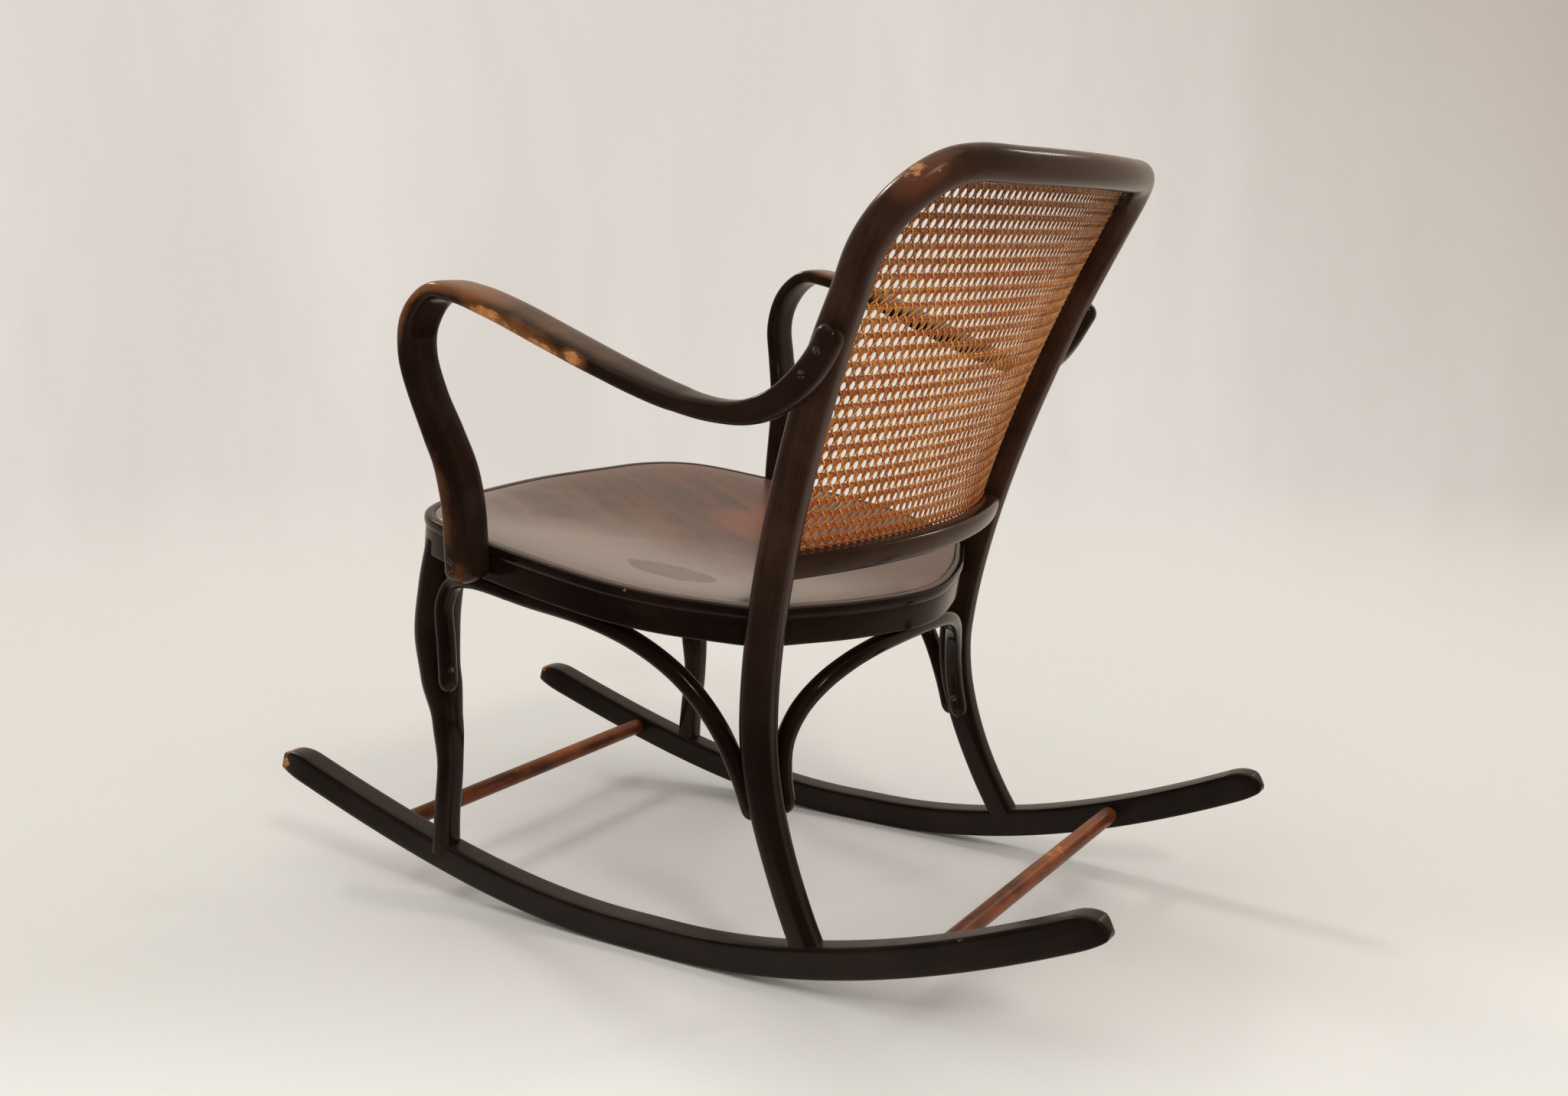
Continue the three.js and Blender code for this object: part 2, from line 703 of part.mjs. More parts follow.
function legCurve() {
  const foot = standOnRocker(new THREE.Vector3(LEG_HALF_SPACING, -LEG_AHEAD - LEG_FOOT_AHEAD, 0));
  const top = legTop();
  const low = foot.z - CUT_OVERRUN;
  const high = top.z + CUT_OVERRUN;
  const points = LEG_HEIGHT_SHARES.map((height, i) => {
    const set = LEG_SET_SHARES[i];
    const y = set < 0 ? LEG_FOOT_AHEAD * set : LEG_SHIN_BACK * set;
    return new THREE.Vector3(LEG_HALF_SPACING, -LEG_AHEAD + y, low + (high - low) * height);
  });
  return new THREE.CatmullRomCurve3(points, false, "centripetal");
}

function legSolid(grow) {
  const sectionAt = (share) => {
    const size = LEG_ANKLE + (LEG_KNEE - LEG_ANKLE) * between(LEG_SWELL_SHARES, share);
    return roundedSection(size + 2 * grow, size + 2 * grow, LEG_SQUARE_SHARE, 10);
  };
  return solidFrom(loft(legCurve(), evenStations(16), X_AXIS, sectionAt));
}

// Route of an arm: shares of its reach and its rise, and how far it has flared out.
// The front part flares from the post on the ring, the rear part from the upright's side.
const ARM_FRONT_SHARES = [
  [0.049, 0, 0],
  [0.051, 0.128, 0.03],
  [0.055, 0.279, 0.12],
  [0.053, 0.411, 0.3],
  [0.039, 0.524, 0.5],
  [0.018, 0.655, 0.7],
  [0.006, 0.776, 0.83],
  [0.019, 0.876, 0.92],
  [0.056, 0.956, 0.97],
  [0.108, 1, 1],
];
const ARM_REAR_SHARES = [
  [0.173, 0.99, 1],
  [0.274, 0.942, 0.985],
  [0.396, 0.868, 0.963],
  [0.53, 0.785, 0.907],
  [0.663, 0.708, 0.8],
  [0.76, 0.668, 0.635],
  [0.833, 0.668, 0.475],
  [0.891, 0.709, 0.31],
  [0.938, 0.779, 0.12],
  [0.974, 0.858, 0],
  [1, 0.93, 0],
];

function armHeight(rise) {
  return ARM_FOOT_HEIGHT + ARM_RISE * rise;
}

function armReach() {
  const [, endRise] = ARM_REAR_SHARES[ARM_REAR_SHARES.length - 1];
  return ARM_FRONT_AHEAD + bowBehind(armHeight(endRise)) + ARM_END_BEHIND;
}

function armCurve() {
  const ringSide = RING_HALF_WIDTH * ARM_POST_RING_SHARE + RING_THICK / 2;
  const postOut = ringSide + CLEARANCE + ARM_POST_WIDE / 2;
  const uprightOut = (z) => bowHalfWidth(z) + CLEARANCE + (BOW_WIDE + ARM_END_WIDE) / 2;
  const restOut = postOut + ARM_FLARE;
  const place = ([along, rise, flare], out) => {
    const x = out + (restOut - out) * flare;
    return new THREE.Vector3(x, -ARM_FRONT_AHEAD + armReach() * along, armHeight(rise));
  };
  const front = ARM_FRONT_SHARES.map((row) => place(row, postOut));
  const rear = ARM_REAR_SHARES.map((row) => place(row, uprightOut(armHeight(row[1]))));
  return new THREE.CatmullRomCurve3([...front, ...rear], false, "centripetal");
}

// Shares along the arm: 0 is its foot, 1 its end on the upright
const ARM_WIDE_SHARES = [0, 0, 0, -0.05, -0.15, -0.15, 0.1, 0.7, 1, 1, 0.95, 0.75, 0.15, -0.65, -1, -1, -1];
const ARM_THICK_SHARES = [1, 0.9, 0.7, 0.35, 0.1, 0, 0, 0, 0, 0, 0, 0, 0.1, -0.3, -0.8, -1, -1];

function armWide(share) {
  const value = between(ARM_WIDE_SHARES, share);
  const far = value < 0 ? ARM_END_WIDE : ARM_REST_WIDE;
  return ARM_POST_WIDE + (far - ARM_POST_WIDE) * Math.abs(value);
}

function armThick(share) {
  const value = between(ARM_THICK_SHARES, share);
  const far = value < 0 ? ARM_END_THICK : ARM_FOOT_THICK;
  return ARM_REST_THICK + (far - ARM_REST_THICK) * Math.abs(value);
}

function armSolid() {
  const curve = armCurve();
  const length = curve.getLength();
  const tip = ARM_END_THICK / 2;
  const sectionAt = (share) => {
    const scale = tipScale(fromEnd(share, length), tip, TIP_TOP_LEAST_SHARE);
    return roundedSection(armWide(share) * scale, armThick(share) * scale, ARM_SQUARE_SHARE, 10);
  };
  return solidFrom(loft(curve, tippedStations(34, length, tip), X_AXIS, sectionAt));
}

// Side brace: up the front leg, along under the ring, down to the rear leg
const BRACE_BESIDE_LEG_SHARE = 0.42;
const BRACE_BEHIND_LEG_SHARE = 0.3;
const BRACE_INSIDE_RING_SHARE = 0.3;
const BRACE_AHEAD_OF_BOW_SHARE = 0.3;
const BEND_SHARES = [
  [0.45, 0.25],
  [1.6, 0],
];
const RING_RUN_SHARES = [4, 6.4];
const SIDE_BRACE_FALL_SHARES = [
  [0.3, 0.11],
  [0.57, 0.28],
  [0.78, 0.51],
  [0.915, 0.765],
  [1, 1],
];

function sideBraceCurve() {
  const under = -RING_TALL - CLEARANCE - BRACE_DEEP / 2;
  const inside = RING_HALF_WIDTH - BRACE_WIDE * BRACE_INSIDE_RING_SHARE;
  const ring = (along) => seatPoint(inside, along, under);
  const legX = LEG_HALF_SPACING + LEG_KNEE * BRACE_BESIDE_LEG_SHARE;
  const legY = -LEG_AHEAD + LEG_KNEE / 2 + BRACE_DEEP * BRACE_BEHIND_LEG_SHARE;
  const [[easeAlong, easeDrop], [startAlong]] = BEND_SHARES;
  const start = ring(legY + SIDE_BRACE_BEND * startAlong);
  const low = SEAT_HEIGHT - SIDE_BRACE_BELOW_SEAT;
  const bendTop = start.z - SIDE_BRACE_BEND;
  const beside = (height, along) => new THREE.Vector3(legX, legY + along, height);
  const points = [
    beside(low, 0),
    beside((low + bendTop) / 2, 0),
    beside(bendTop, 0),
    beside(start.z - SIDE_BRACE_BEND * easeDrop, SIDE_BRACE_BEND * easeAlong),
    start,
    ...RING_RUN_SHARES.map((share) => ring(legY + SIDE_BRACE_BEND * share)),
  ];
  const last = points[points.length - 1];
  const end = uprightPoint(SIDE_BRACE_REAR_END);
  end.y -= BOW_DEEP / 2 + BRACE_DEEP * BRACE_AHEAD_OF_BOW_SHARE;
  SIDE_BRACE_FALL_SHARES.forEach(([along, fall]) => {
    const point = last.clone().lerp(end, along);
    point.z = THREE.MathUtils.lerp(last.z, end.z, fall);
    points.push(point);
  });
  return new THREE.CatmullRomCurve3(points, false, "centripetal");
}

// Rear brace: an arch between the rear legs that meets the back of the ring
const REAR_BRACE_SPAN_SHARES = [
  [1, 0],
  [0.988, 0.25],
  [0.96, 0.46],
  [0.885, 0.65],
  [0.76, 0.8],
  [0.59, 0.905],
  [0.4, 0.965],
  [0.2, 0.992],
];

function rearBraceCurve() {
  const endX = bowHalfWidth(REAR_BRACE_END) - (BOW_WIDE + BRACE_DEEP) / 2;
  const crown = seatPoint(0, RING_REAR - BRACE_WIDE / 4, -RING_TALL - CLEARANCE - BRACE_DEEP / 2);
  const half = REAR_BRACE_SPAN_SHARES.map(([out, rise]) => {
    const z = REAR_BRACE_END + (crown.z - REAR_BRACE_END) * rise;
    const legY = bowBehind(z) + BOW_DEEP / 6;
    return new THREE.Vector3(endX * out, legY + (crown.y - legY) * (1 - out ** 2), z);
  });
  const other = half.map((p) => new THREE.Vector3(-p.x, p.y, p.z)).reverse();
  return new THREE.CatmullRomCurve3([...half, crown, ...other], false, "centripetal");
}

function braceSolid(curve, guide, count) {
  const length = curve.getLength();
  const sectionAt = (share) => {
    const scale = tipScale(fromEnd(share, length), BRACE_TIP, TIP_TOP_LEAST_SHARE);
    return roundedSection(BRACE_WIDE * scale, BRACE_DEEP * scale, BRACE_SQUARE_SHARE, 8);
  };
  return solidFrom(loft(curve, tippedStations(count, length, BRACE_TIP), guide, sectionAt));
}

// Slotted wood screw whose head points along the given direction
function screwSolid(place, direction, length, grow) {
  const shank = SCREW_SHANK_RADIUS + grow;
  const head = SCREW_HEAD_RADIUS + grow;
  const top = grow > 0 ? CUT_OVERRUN : 0;
  const profile = [
    new THREE.Vector2(0, -length - grow),
    new THREE.Vector2(shank, -length - grow),
    new THREE.Vector2(shank, -SCREW_HEAD_TALL - grow),
    new THREE.Vector2(head, -SCREW_HEAD_TALL / 2),
    new THREE.Vector2(head, top - SCREW_HEAD_TALL / 6),
    new THREE.Vector2(0, top + SCREW_HEAD_TALL / 6),
  ];
  const lathe = new THREE.LatheGeometry(profile, 8);
  let screw = solidFrom(lathe);
  if (grow === 0) {
    const slot = new THREE.BoxGeometry(3 * head, 2 * SCREW_SLOT_DEEP, SCREW_SLOT_WIDE);
    screw = screw.subtract(solidFrom(slot.translate(0, SCREW_HEAD_TALL / 6, 0)));
  }
  const turn = new THREE.Quaternion().setFromUnitVectors(Y_AXIS, direction);
  const matrix = new THREE.Matrix4().compose(place, turn, new THREE.Vector3(1, 1, 1));
  return screw.transform(matrix.toArray());
}

// All solids by name. Later steps cut each one to its neighbours.
const solids = {};
const looks = {};

function add(name, solid, look) {
  solids[name] = solid;
  looks[name] = look;
}

function cut(name, tool) {
  solids[name] = solids[name].subtract(tool);
}

function addPair(name, solid, look) {
  add(`left_${name}`, solid, look);
  add(`right_${name}`, mirrored(solid), look);
}

function cutPair(name, tool) {
  cut(`left_${name}`, tool);
  cut(`right_${name}`, mirrored(tool));
}

// A screw goes into its hole through every piece that it holds
function drive(name, place, direction, length, pieces) {
  add(name, screwSolid(place, direction, length, 0), steel);
  pieces.forEach((piece) => cut(piece, screwSolid(place, direction, length, CLEARANCE)));
}

function mirrorPoint(p) {
  return new THREE.Vector3(-p.x, p.y, p.z);
}

// The same screw on both sides. A piece named with a leading dash has a left and a right copy.
function drivePair(name, place, direction, length, pieces) {
  const named = (side) => pieces.map((piece) => piece.replace(/^-/, `${side}_`));
  drive(`left_${name}`, place, direction, length, named("left"));
  drive(`right_${name}`, mirrorPoint(place), mirrorPoint(direction), length, named("right"));
}

// A place on a curve at a distance from its start
function along(curve, distance) {
  return curve.getPointAt(distance / curve.getLength());
}

// The place on a curve that lies nearest to a point
function nearestOn(curve, point) {
  const places = evenStations(NEAREST_TRY_COUNT).map((share) => curve.getPointAt(share));
  return places.reduce((best, place) => {
    return place.distanceTo(point) < best.distanceTo(point) ? place : best;
  });
}

function buildArmScrews() {
  const curve = armCurve();
  const length = curve.getLength();
  ARM_FOOT_SCREWS.forEach((distance, i) => {
    const place = along(curve, distance).addScaledVector(X_AXIS, ARM_POST_WIDE / 2);
    const name = `arm_foot_screw_${i + 1}`;
    drivePair(name, place, X_AXIS, ARM_FOOT_SCREW_LONG, ["-arm", "seat_ring"]);
  });
  ARM_END_SCREWS.forEach((distance, i) => {
    const place = along(curve, length - distance);
    place.addScaledVector(X_AXIS, ARM_END_WIDE / 2);
    const name = `arm_end_screw_${i + 1}`;
    drivePair(name, place, X_AXIS, ARM_END_SCREW_LONG, ["-arm", "back_bow"]);
  });
}

function buildBraceScrews() {
  const down = seatUp().negate();
  const side = sideBraceCurve();
  const ringPlace = along(side, RING_SCREW_ALONG).addScaledVector(down, BRACE_DEEP / 2);
  drivePair("brace_ring_screw", ringPlace, down, BRACE_SCREW_LONG, ["-brace", "seat_ring"]);
  const front = along(side, BRACE_SCREW_IN);
  const outward = front.clone().sub(nearestOn(legCurve(), front)).normalize();
  front.addScaledVector(outward, BRACE_DEEP / 2);
  drivePair("brace_front_screw", front, outward, BRACE_SCREW_LONG, ["-brace", "-front_leg"]);
  const back = along(side, side.getLength() - BRACE_SCREW_IN);
  back.addScaledVector(Y_AXIS, -BRACE_DEEP / 2);
  const ahead = Y_AXIS.clone().negate();
  drivePair("brace_rear_screw", back, ahead, BRACE_SCREW_LONG, ["-brace", "back_bow"]);
  const rear = rearBraceCurve();
  const end = along(rear, BRACE_SCREW_IN).addScaledVector(X_AXIS, -BRACE_DEEP / 2);
  const inward = X_AXIS.clone().negate();
  drivePair("rear_brace_screw", end, inward, BRACE_SCREW_LONG, ["rear_brace", "back_bow"]);
  const middle = rear.getPointAt(0.5).addScaledVector(down, BRACE_DEEP / 2);
  drive("rear_brace_ring_screw", middle, down, BRACE_SCREW_LONG, ["rear_brace", "seat_ring"]);
}

// The ring is held between the uprights by a screw from its inside on each side
function buildSeatScrews() {
  const drop = -RING_TALL * SEAT_SCREW_SHARE;
  const level = seatPoint(0, bowBehind(SEAT_HEIGHT), drop).z;
  const upright = uprightPoint(level).applyMatrix4(seatMatrix().invert());
  const ring = nearestOn(ringCurve(), upright.setZ(0));
  const inward = ring.clone().sub(upright).normalize();
  const inside = ring.addScaledVector(inward, RING_THICK / 2).setZ(drop);
  const place = inside.applyMatrix4(seatMatrix());
  const head = inward.transformDirection(seatMatrix());
  drivePair("seat_screw", place, head, SEAT_SCREW_LONG, ["seat_ring", "back_bow"]);
}

function buildRockers() {
  const frontY = -FRONT_STRETCHER_AHEAD;
  const rearY = REAR_STRETCHER_BEHIND;
  let rocker = rockerBody();
  [frontY, rearY].forEach((y) => {
    rocker = rocker.subtract(stretcherSolid(y, CLEARANCE));
  });
  addPair("rocker", rocker, darkWood);
  add("front_stretcher", stretcherSolid(frontY, 0), wornWood);
  add("rear_stretcher", stretcherSolid(rearY, 0), wornWood);
}

// Cuts a foot to the rocker's curve and gives it a round tenon in a mortise
function footOnRocker(solid, foot) {
  const down = rockerUp(foot.y).negate();
  const neck = foot.clone().addScaledVector(down, -CUT_OVERRUN);
  const tenon = peg(neck, down, TENON_RADIUS, TENON_LONG + CUT_OVERRUN);
  const mortiseLong = TENON_LONG + CLEARANCE + CUT_OVERRUN;
  cutPair("rocker", peg(neck, down, TENON_RADIUS + CLEARANCE, mortiseLong));
  return solid.subtract(footCutter()).add(tenon);
}

function buildBow() {
  const foot = bowFoot();
  let bow = footOnRocker(bowSolid(0), foot);
  const otherSide = mirrored(footCutter());
  const down = rockerUp(foot.y).negate();
  const neck = foot.clone().addScaledVector(down, -CUT_OVERRUN);
  const tenon = mirrored(peg(neck, down, TENON_RADIUS, TENON_LONG + CUT_OVERRUN));
  bow = bow.subtract(otherSide).add(tenon);
  add("back_bow", bow, darkWood);
}

function buildLegs() {
  const foot = legCurve().getPointAt(0);
  const stand = standOnRocker(foot);
  const top = legTop();
  const up = seatUp();
  let leg = footOnRocker(legSolid(0), stand);
  const offset = top.dot(up) - CLEARANCE;
  leg = leg.trimByPlane([-up.x, -up.y, -up.z], -offset);
  const neck = top.clone().addScaledVector(up, -CUT_OVERRUN);
  leg = leg.add(peg(neck, up, TENON_RADIUS, TENON_LONG + CUT_OVERRUN));
  addPair("front_leg", leg, darkWood);
}

function buildSeat() {
  const up = seatUp();
  const neck = legTop().addScaledVector(up, -CUT_OVERRUN);
  const mortise = peg(neck, up, TENON_RADIUS + CLEARANCE, TENON_LONG + CLEARANCE + CUT_OVERRUN);
  let ring = ringSolid(0).subtract(bowSolid(CLEARANCE));
  ring = ring.subtract(mortise).subtract(mirrored(mortise));
  add("seat_ring", ring, darkWood);
  add("seat_panel", panelSolid().subtract(bowSolid(CLEARANCE)), seatWood);
}

function buildBack() {
  const groove = caneSheet(-CANE_TUCK, CANE_THICK + 2 * CLEARANCE, false);
  const rail = lowerRailSolid(0).subtract(bowSolid(CLEARANCE));
  add("lower_back_rail", rail.subtract(groove), darkWood);
  cut("back_bow", groove);
  add("cane_panel", caneSheet(CLEARANCE - CANE_TUCK, CANE_THICK, true), cane);
}

function buildArms() {
  const arm = armSolid().subtract(ringSolid(CLEARANCE)).subtract(bowSolid(CLEARANCE));
  addPair("arm", arm, darkWood);
}

function buildBraces() {
  const up = seatUp();
  const underRing = seatPoint(0, 0, -RING_TALL - CLEARANCE).dot(up);
  const trim = (solid) => solid.trimByPlane([-up.x, -up.y, -up.z], -underRing);
  const bow = bowSolid(CLEARANCE);
  const side = braceSolid(sideBraceCurve(), X_AXIS, 25);
  addPair("brace", trim(side.subtract(legSolid(CLEARANCE)).subtract(bow)), darkWood);
  const rear = braceSolid(rearBraceCurve(), Y_AXIS, 30);
  add("rear_brace", trim(rear.subtract(bow)), darkWood);
}

buildRockers();
buildBow();
buildLegs();
buildSeat();
buildBack();
buildArms();
buildBraces();
buildArmScrews();
buildBraceScrews();
buildSeatScrews();

// The chair as a scene graph, moved so that the origin is under the middle of its box
const chair = new THREE.Group();
Object.entries(solids).forEach(([name, solid]) => {
  const mesh = new THREE.Mesh(geometryFrom(solid), new THREE.MeshStandardMaterial(looks[name]));
  mesh.name = name;
  chair.add(mesh);
});
const box = new THREE.Box3().setFromObject(chair);
chair.position.set(0, -(box.min.y + box.max.y) / 2, -box.min.z);

export default chair;
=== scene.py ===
"""Bentwood rocking armchair with a dished plywood seat and a woven cane back.

Sizes are in millimetres until a point goes into a mesh.
Left is the sitter's left, +X. The chair faces -Y.
"""

import bisect
import itertools
import math
import random

import bmesh
import bpy
from mathutils import Matrix, Vector


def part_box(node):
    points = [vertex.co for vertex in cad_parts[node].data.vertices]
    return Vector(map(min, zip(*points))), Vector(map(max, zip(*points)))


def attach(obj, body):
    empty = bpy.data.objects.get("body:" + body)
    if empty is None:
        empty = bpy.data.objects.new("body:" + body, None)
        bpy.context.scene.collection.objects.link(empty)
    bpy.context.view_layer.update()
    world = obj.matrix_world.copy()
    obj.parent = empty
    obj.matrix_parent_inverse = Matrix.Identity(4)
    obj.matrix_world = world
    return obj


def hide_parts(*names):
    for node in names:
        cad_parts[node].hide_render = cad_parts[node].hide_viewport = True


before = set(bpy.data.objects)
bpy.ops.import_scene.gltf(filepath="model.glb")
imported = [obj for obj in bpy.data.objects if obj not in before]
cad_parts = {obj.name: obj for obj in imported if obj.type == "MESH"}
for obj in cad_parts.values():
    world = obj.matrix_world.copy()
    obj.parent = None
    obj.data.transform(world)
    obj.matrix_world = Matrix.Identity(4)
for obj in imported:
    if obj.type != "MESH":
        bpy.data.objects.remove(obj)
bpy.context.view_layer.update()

MM = 0.001
WELD = 1e-6

X_AXIS = Vector((1, 0, 0))
Y_AXIS = Vector((0, 1, 0))
Z_AXIS = Vector((0, 0, 1))

# Rockers
ROCKER_SPACING = 398
ROCKER_WIDE = 25
ROCKER_DEEP = 30
ROCKER_REACH = {-1: 482, 1: 468}
ROCKER_RISE = {-1: 99, 1: 115}
ROCKER_TIP = {-1: 36, 1: 30}
ROCKER_STRAIGHTENING = {-1: 0.45, 1: 0.173}
ROCKER_FLAT = 50
TIP_TOP_LEAST = 0.42
TIP_FOOT = 0.16
TIP_WIDE_LEAST = 0.6
TIP_CLOSE = 5
ROCKER_SQUARE = 7.5

# Stretchers
STRETCHER_RADIUS = 9
STRETCHER_SOCKET = 12
STRETCHER_PLACES = (-324, 309)

# Seat
SEAT_HEIGHT = 359
SEAT_FALL_DEGREES = 8
RING_OVER_ROCKER = 30
RING_HALF_WIDTH = ROCKER_SPACING / 2 + RING_OVER_ROCKER
RING_FRONT = 284
RING_REAR = 184
RING_THICK = 24
RING_TALL = 36
BEAD_OUT = 1.8
REBATE_WIDE = 16
REBATE_DEEP = 7
RING_WORN_EDGE = 3
RING_OUTLINE = (
    (0, -1), (0.38, -0.978), (0.71, -0.94), (0.88, -0.845), (0.965, -0.56), (1, -0.27),
    (0.996, 0), (0.948, 0.25), (0.867, 0.465), (0.783, 0.64), (0.612, 0.762), (0.38, 0.892),
    (0, 1),
)
PANEL_THICK = 6.2
PANEL_DISH = 15
PANEL_CENTRE_AHEAD = 40
PANEL_BRIM = 0.945

# Bow
BOW_WIDE = 24
BOW_DEEP = 27
UPRIGHT_FULLER = 6
TOP_RAIL_ROUND = 31
WAIST_HEIGHT = 225
WAIST_DRAWN_IN = 12
WAIST_HALF_WIDTH = ROCKER_SPACING / 2 - WAIST_DRAWN_IN
WAIST_BEHIND = 122
FOOT_KICK = 61
FOOT_BEND = 1.9
SHOULDER_ABOVE_SEAT = 292
SHOULDER_HEIGHT = SEAT_HEIGHT + SHOULDER_ABOVE_SEAT
SHOULDER_SPLAY = 52
SPLAY_BEND = 1.25
SHOULDER_LEAN = 137
LEAN_BEND = 1.55
CROWN_RISE = 67
CROWN_HEIGHT = SHOULDER_HEIGHT + CROWN_RISE
CORNER_RADIUS = 68
BACK_HOLLOW = 48
FOOT_TENON = 6
FULLER_FROM = ROCKER_DEEP * 3
TOP_SWELL_FROM = SHOULDER_HEIGHT * 0.85
BOW_SQUARE = 3.6
TOP_RAIL_SQUARE = 2.1

# Lower rail and cane
LOWER_RAIL_HEIGHT = SEAT_HEIGHT + 24
LOWER_RAIL_TALL = 23
LOWER_RAIL_DEEP = 20
LOWER_RAIL_SQUARE = 2.8
LOWER_RAIL_TOP = LOWER_RAIL_HEIGHT + LOWER_RAIL_TALL / 2
CANE_AHEAD = 13
CANE_TUCK = 5
CANE_WIDE = 9.2
CANE_TALL = 12

# Front legs
LEG_OUTWARD = 2
LEG_HALF_SPACING = ROCKER_SPACING / 2 + LEG_OUTWARD
LEG_SET_BACK = 38
LEG_AHEAD = RING_FRONT - LEG_SET_BACK
LEG_TOP_BACK = 16
LEG_SHIN_BACK = 5
LEG_FOOT_AHEAD = 7
LEG_KNEE = 38
LEG_ANKLE = 22
LEG_SQUARE = 3.2
LEG_HEIGHTS = (0, 0.14, 0.3, 0.46, 0.6, 0.73, 0.87, 1)
LEG_SETS = (-1, -0.3, 1, 0.75, -0.35, -0.45, 1, 3.2)
LEG_SWELLS = (0.1, 0, 0, 0.25, 0.75, 1, 0.95, 0.85)
OVERRUN = 12

# Arms
ARM_FOOT_BELOW_SEAT = 13
ARM_RISE = 265.5
ARM_FRONT_AHEAD = 173
ARM_END_BEHIND = 8
ARM_FLARE = 35.5
ARM_POST_WIDE = 42
ARM_POST_RING = 0.966
ARM_REST_WIDE = 51
ARM_END_WIDE = 22
ARM_FOOT_THICK = 26
ARM_REST_THICK = 16
ARM_END_THICK = 24
ARM_SQUARE = 3.4
ARM_END_ROUNDING = 1.1
ARM_FRONT = (
    (0.049, 0, 0), (0.051, 0.128, 0.03), (0.055, 0.279, 0.12), (0.053, 0.411, 0.3),
    (0.039, 0.524, 0.5), (0.018, 0.655, 0.7), (0.006, 0.776, 0.83), (0.019, 0.876, 0.92),
    (0.056, 0.956, 0.97), (0.108, 1, 1),
)
ARM_REAR = (
    (0.173, 0.99, 1), (0.274, 0.942, 0.985), (0.396, 0.868, 0.963), (0.53, 0.785, 0.907),
    (0.663, 0.708, 0.8), (0.76, 0.668, 0.635), (0.833, 0.668, 0.475), (0.891, 0.709, 0.31),
    (0.938, 0.779, 0.12), (0.974, 0.858, 0), (1, 0.93, 0),
)
ARM_WIDES = (0, 0, 0, -0.05, -0.15, -0.15, 0.1, 0.7, 1, 1, 0.95, 0.75, 0.15, -0.65, -1, -1, -1)
ARM_THICKS = (1, 0.9, 0.7, 0.35, 0.1, 0, 0, 0, 0, 0, 0, 0, 0.1, -0.3, -0.8, -1, -1)

# Braces
BRACE_WIDE = 17
BRACE_DEEP = 16
BRACE_TIP = 12
BRACE_SQUARE = 2.6
BRACE_STAND_OFF = BRACE_DEEP * 0.3
SIDE_BRACE_BELOW_SEAT = 137
SIDE_BRACE_REAR_END = 146
SIDE_BRACE_OUT = LEG_KNEE * 0.42
SIDE_BRACE_INSET = BRACE_WIDE * 0.3
SIDE_BRACE_BEND = 30
SIDE_BRACE_CORNER = (0.45, 0.25)
SIDE_BRACE_RUN = (1.6, 4, 6.4)
SIDE_BRACE_FALLS = ((0.3, 0.11), (0.57, 0.28), (0.78, 0.51), (0.915, 0.765), (1, 1))
REAR_BRACE_END = 150
REAR_BRACE_SPANS = (
    (1, 0), (0.988, 0.25), (0.96, 0.46), (0.885, 0.65), (0.76, 0.8), (0.59, 0.905),
    (0.4, 0.965), (0.2, 0.992),
)

CLEARANCE = 0.3


def smooth(share):
    share = min(max(share, 0.0), 1.0)
    return share * share * (3 - 2 * share)


def ramp(low, high, value):
    return smooth((value - low) / (high - low))


def mix(a, b, share):
    return a + (b - a) * share


def between(table, share):
    """Value between the rows of a table that is spread evenly along a piece."""
    place = share * (len(table) - 1)
    row = min(int(place), len(table) - 2)
    return mix(table[row], table[row + 1], smooth(place - row))


def centripetal(four, share):
    """Point on the centripetal spline through the middle two of four points."""
    a, b, c, d = four
    first, middle, last = (
        max(math.sqrt((q - p).length), 1e-4) for p, q in ((a, b), (b, c), (c, d))
    )
    out = ((b - a) / first - (c - a) / (first + middle) + (c - b) / middle) * middle
    into = ((c - b) / middle - (d - b) / (middle + last) + (d - c) / last) * middle
    s, s2, s3 = share, share**2, share**3
    return (
        b * (2 * s3 - 3 * s2 + 1)
        + out * (s3 - 2 * s2 + s)
        + c * (3 * s2 - 2 * s3)
        + into * (s3 - s2)
    )


class Route:
    """A smooth line through points, read by the share of its length."""

    FINE = 24

    def __init__(self, points, closed=False):
        points = [Vector(p) for p in points]
        if closed:
            padded = [points[-1], *points, points[0], points[1]]
        else:
            before = 2 * points[0] - points[1]
            after = 2 * points[-1] - points[-2]
            padded = [before, *points, after]
        self.closed = closed
        self.line = []
        for i in range(len(padded) - 3):
            four = padded[i : i + 4]
            self.line += [centripetal(four, k / self.FINE) for k in range(self.FINE)]
        self.line.append(padded[-2])
        self.far = [0.0]
        for a, b in zip(self.line, self.line[1:]):
            self.far.append(self.far[-1] + (b - a).length)
        self.length = self.far[-1]

    def at(self, share):
        if self.closed:
            share %= 1.0
        distance = min(max(share, 0.0), 1.0) * self.length
        i = min(max(bisect.bisect_right(self.far, distance), 1), len(self.far) - 1)
        run = self.far[i] - self.far[i - 1]
        return self.line[i - 1].lerp(self.line[i], (distance - self.far[i - 1]) / run)

    def after(self, distance):
        """Point at a distance from the start, or from the end where it is negative."""
        share = distance / self.length
        return self.at(share if distance >= 0 else 1 + share)

    def heading(self, share):
        step = 1.0 / self.length
        low, high = share - step, share + step
        if not self.closed:
            low, high = max(low, 0.0), min(high, 1.0)
        return (self.at(high) - self.at(low)).normalized()


# Shapes of the pieces


SEAT_FALL = Matrix.Rotation(-math.radians(SEAT_FALL_DEGREES), 4, "X")
SEAT = Matrix.Translation((0, 0, SEAT_HEIGHT)) @ SEAT_FALL
SEAT_UP = (SEAT.to_3x3() @ Z_AXIS).normalized()


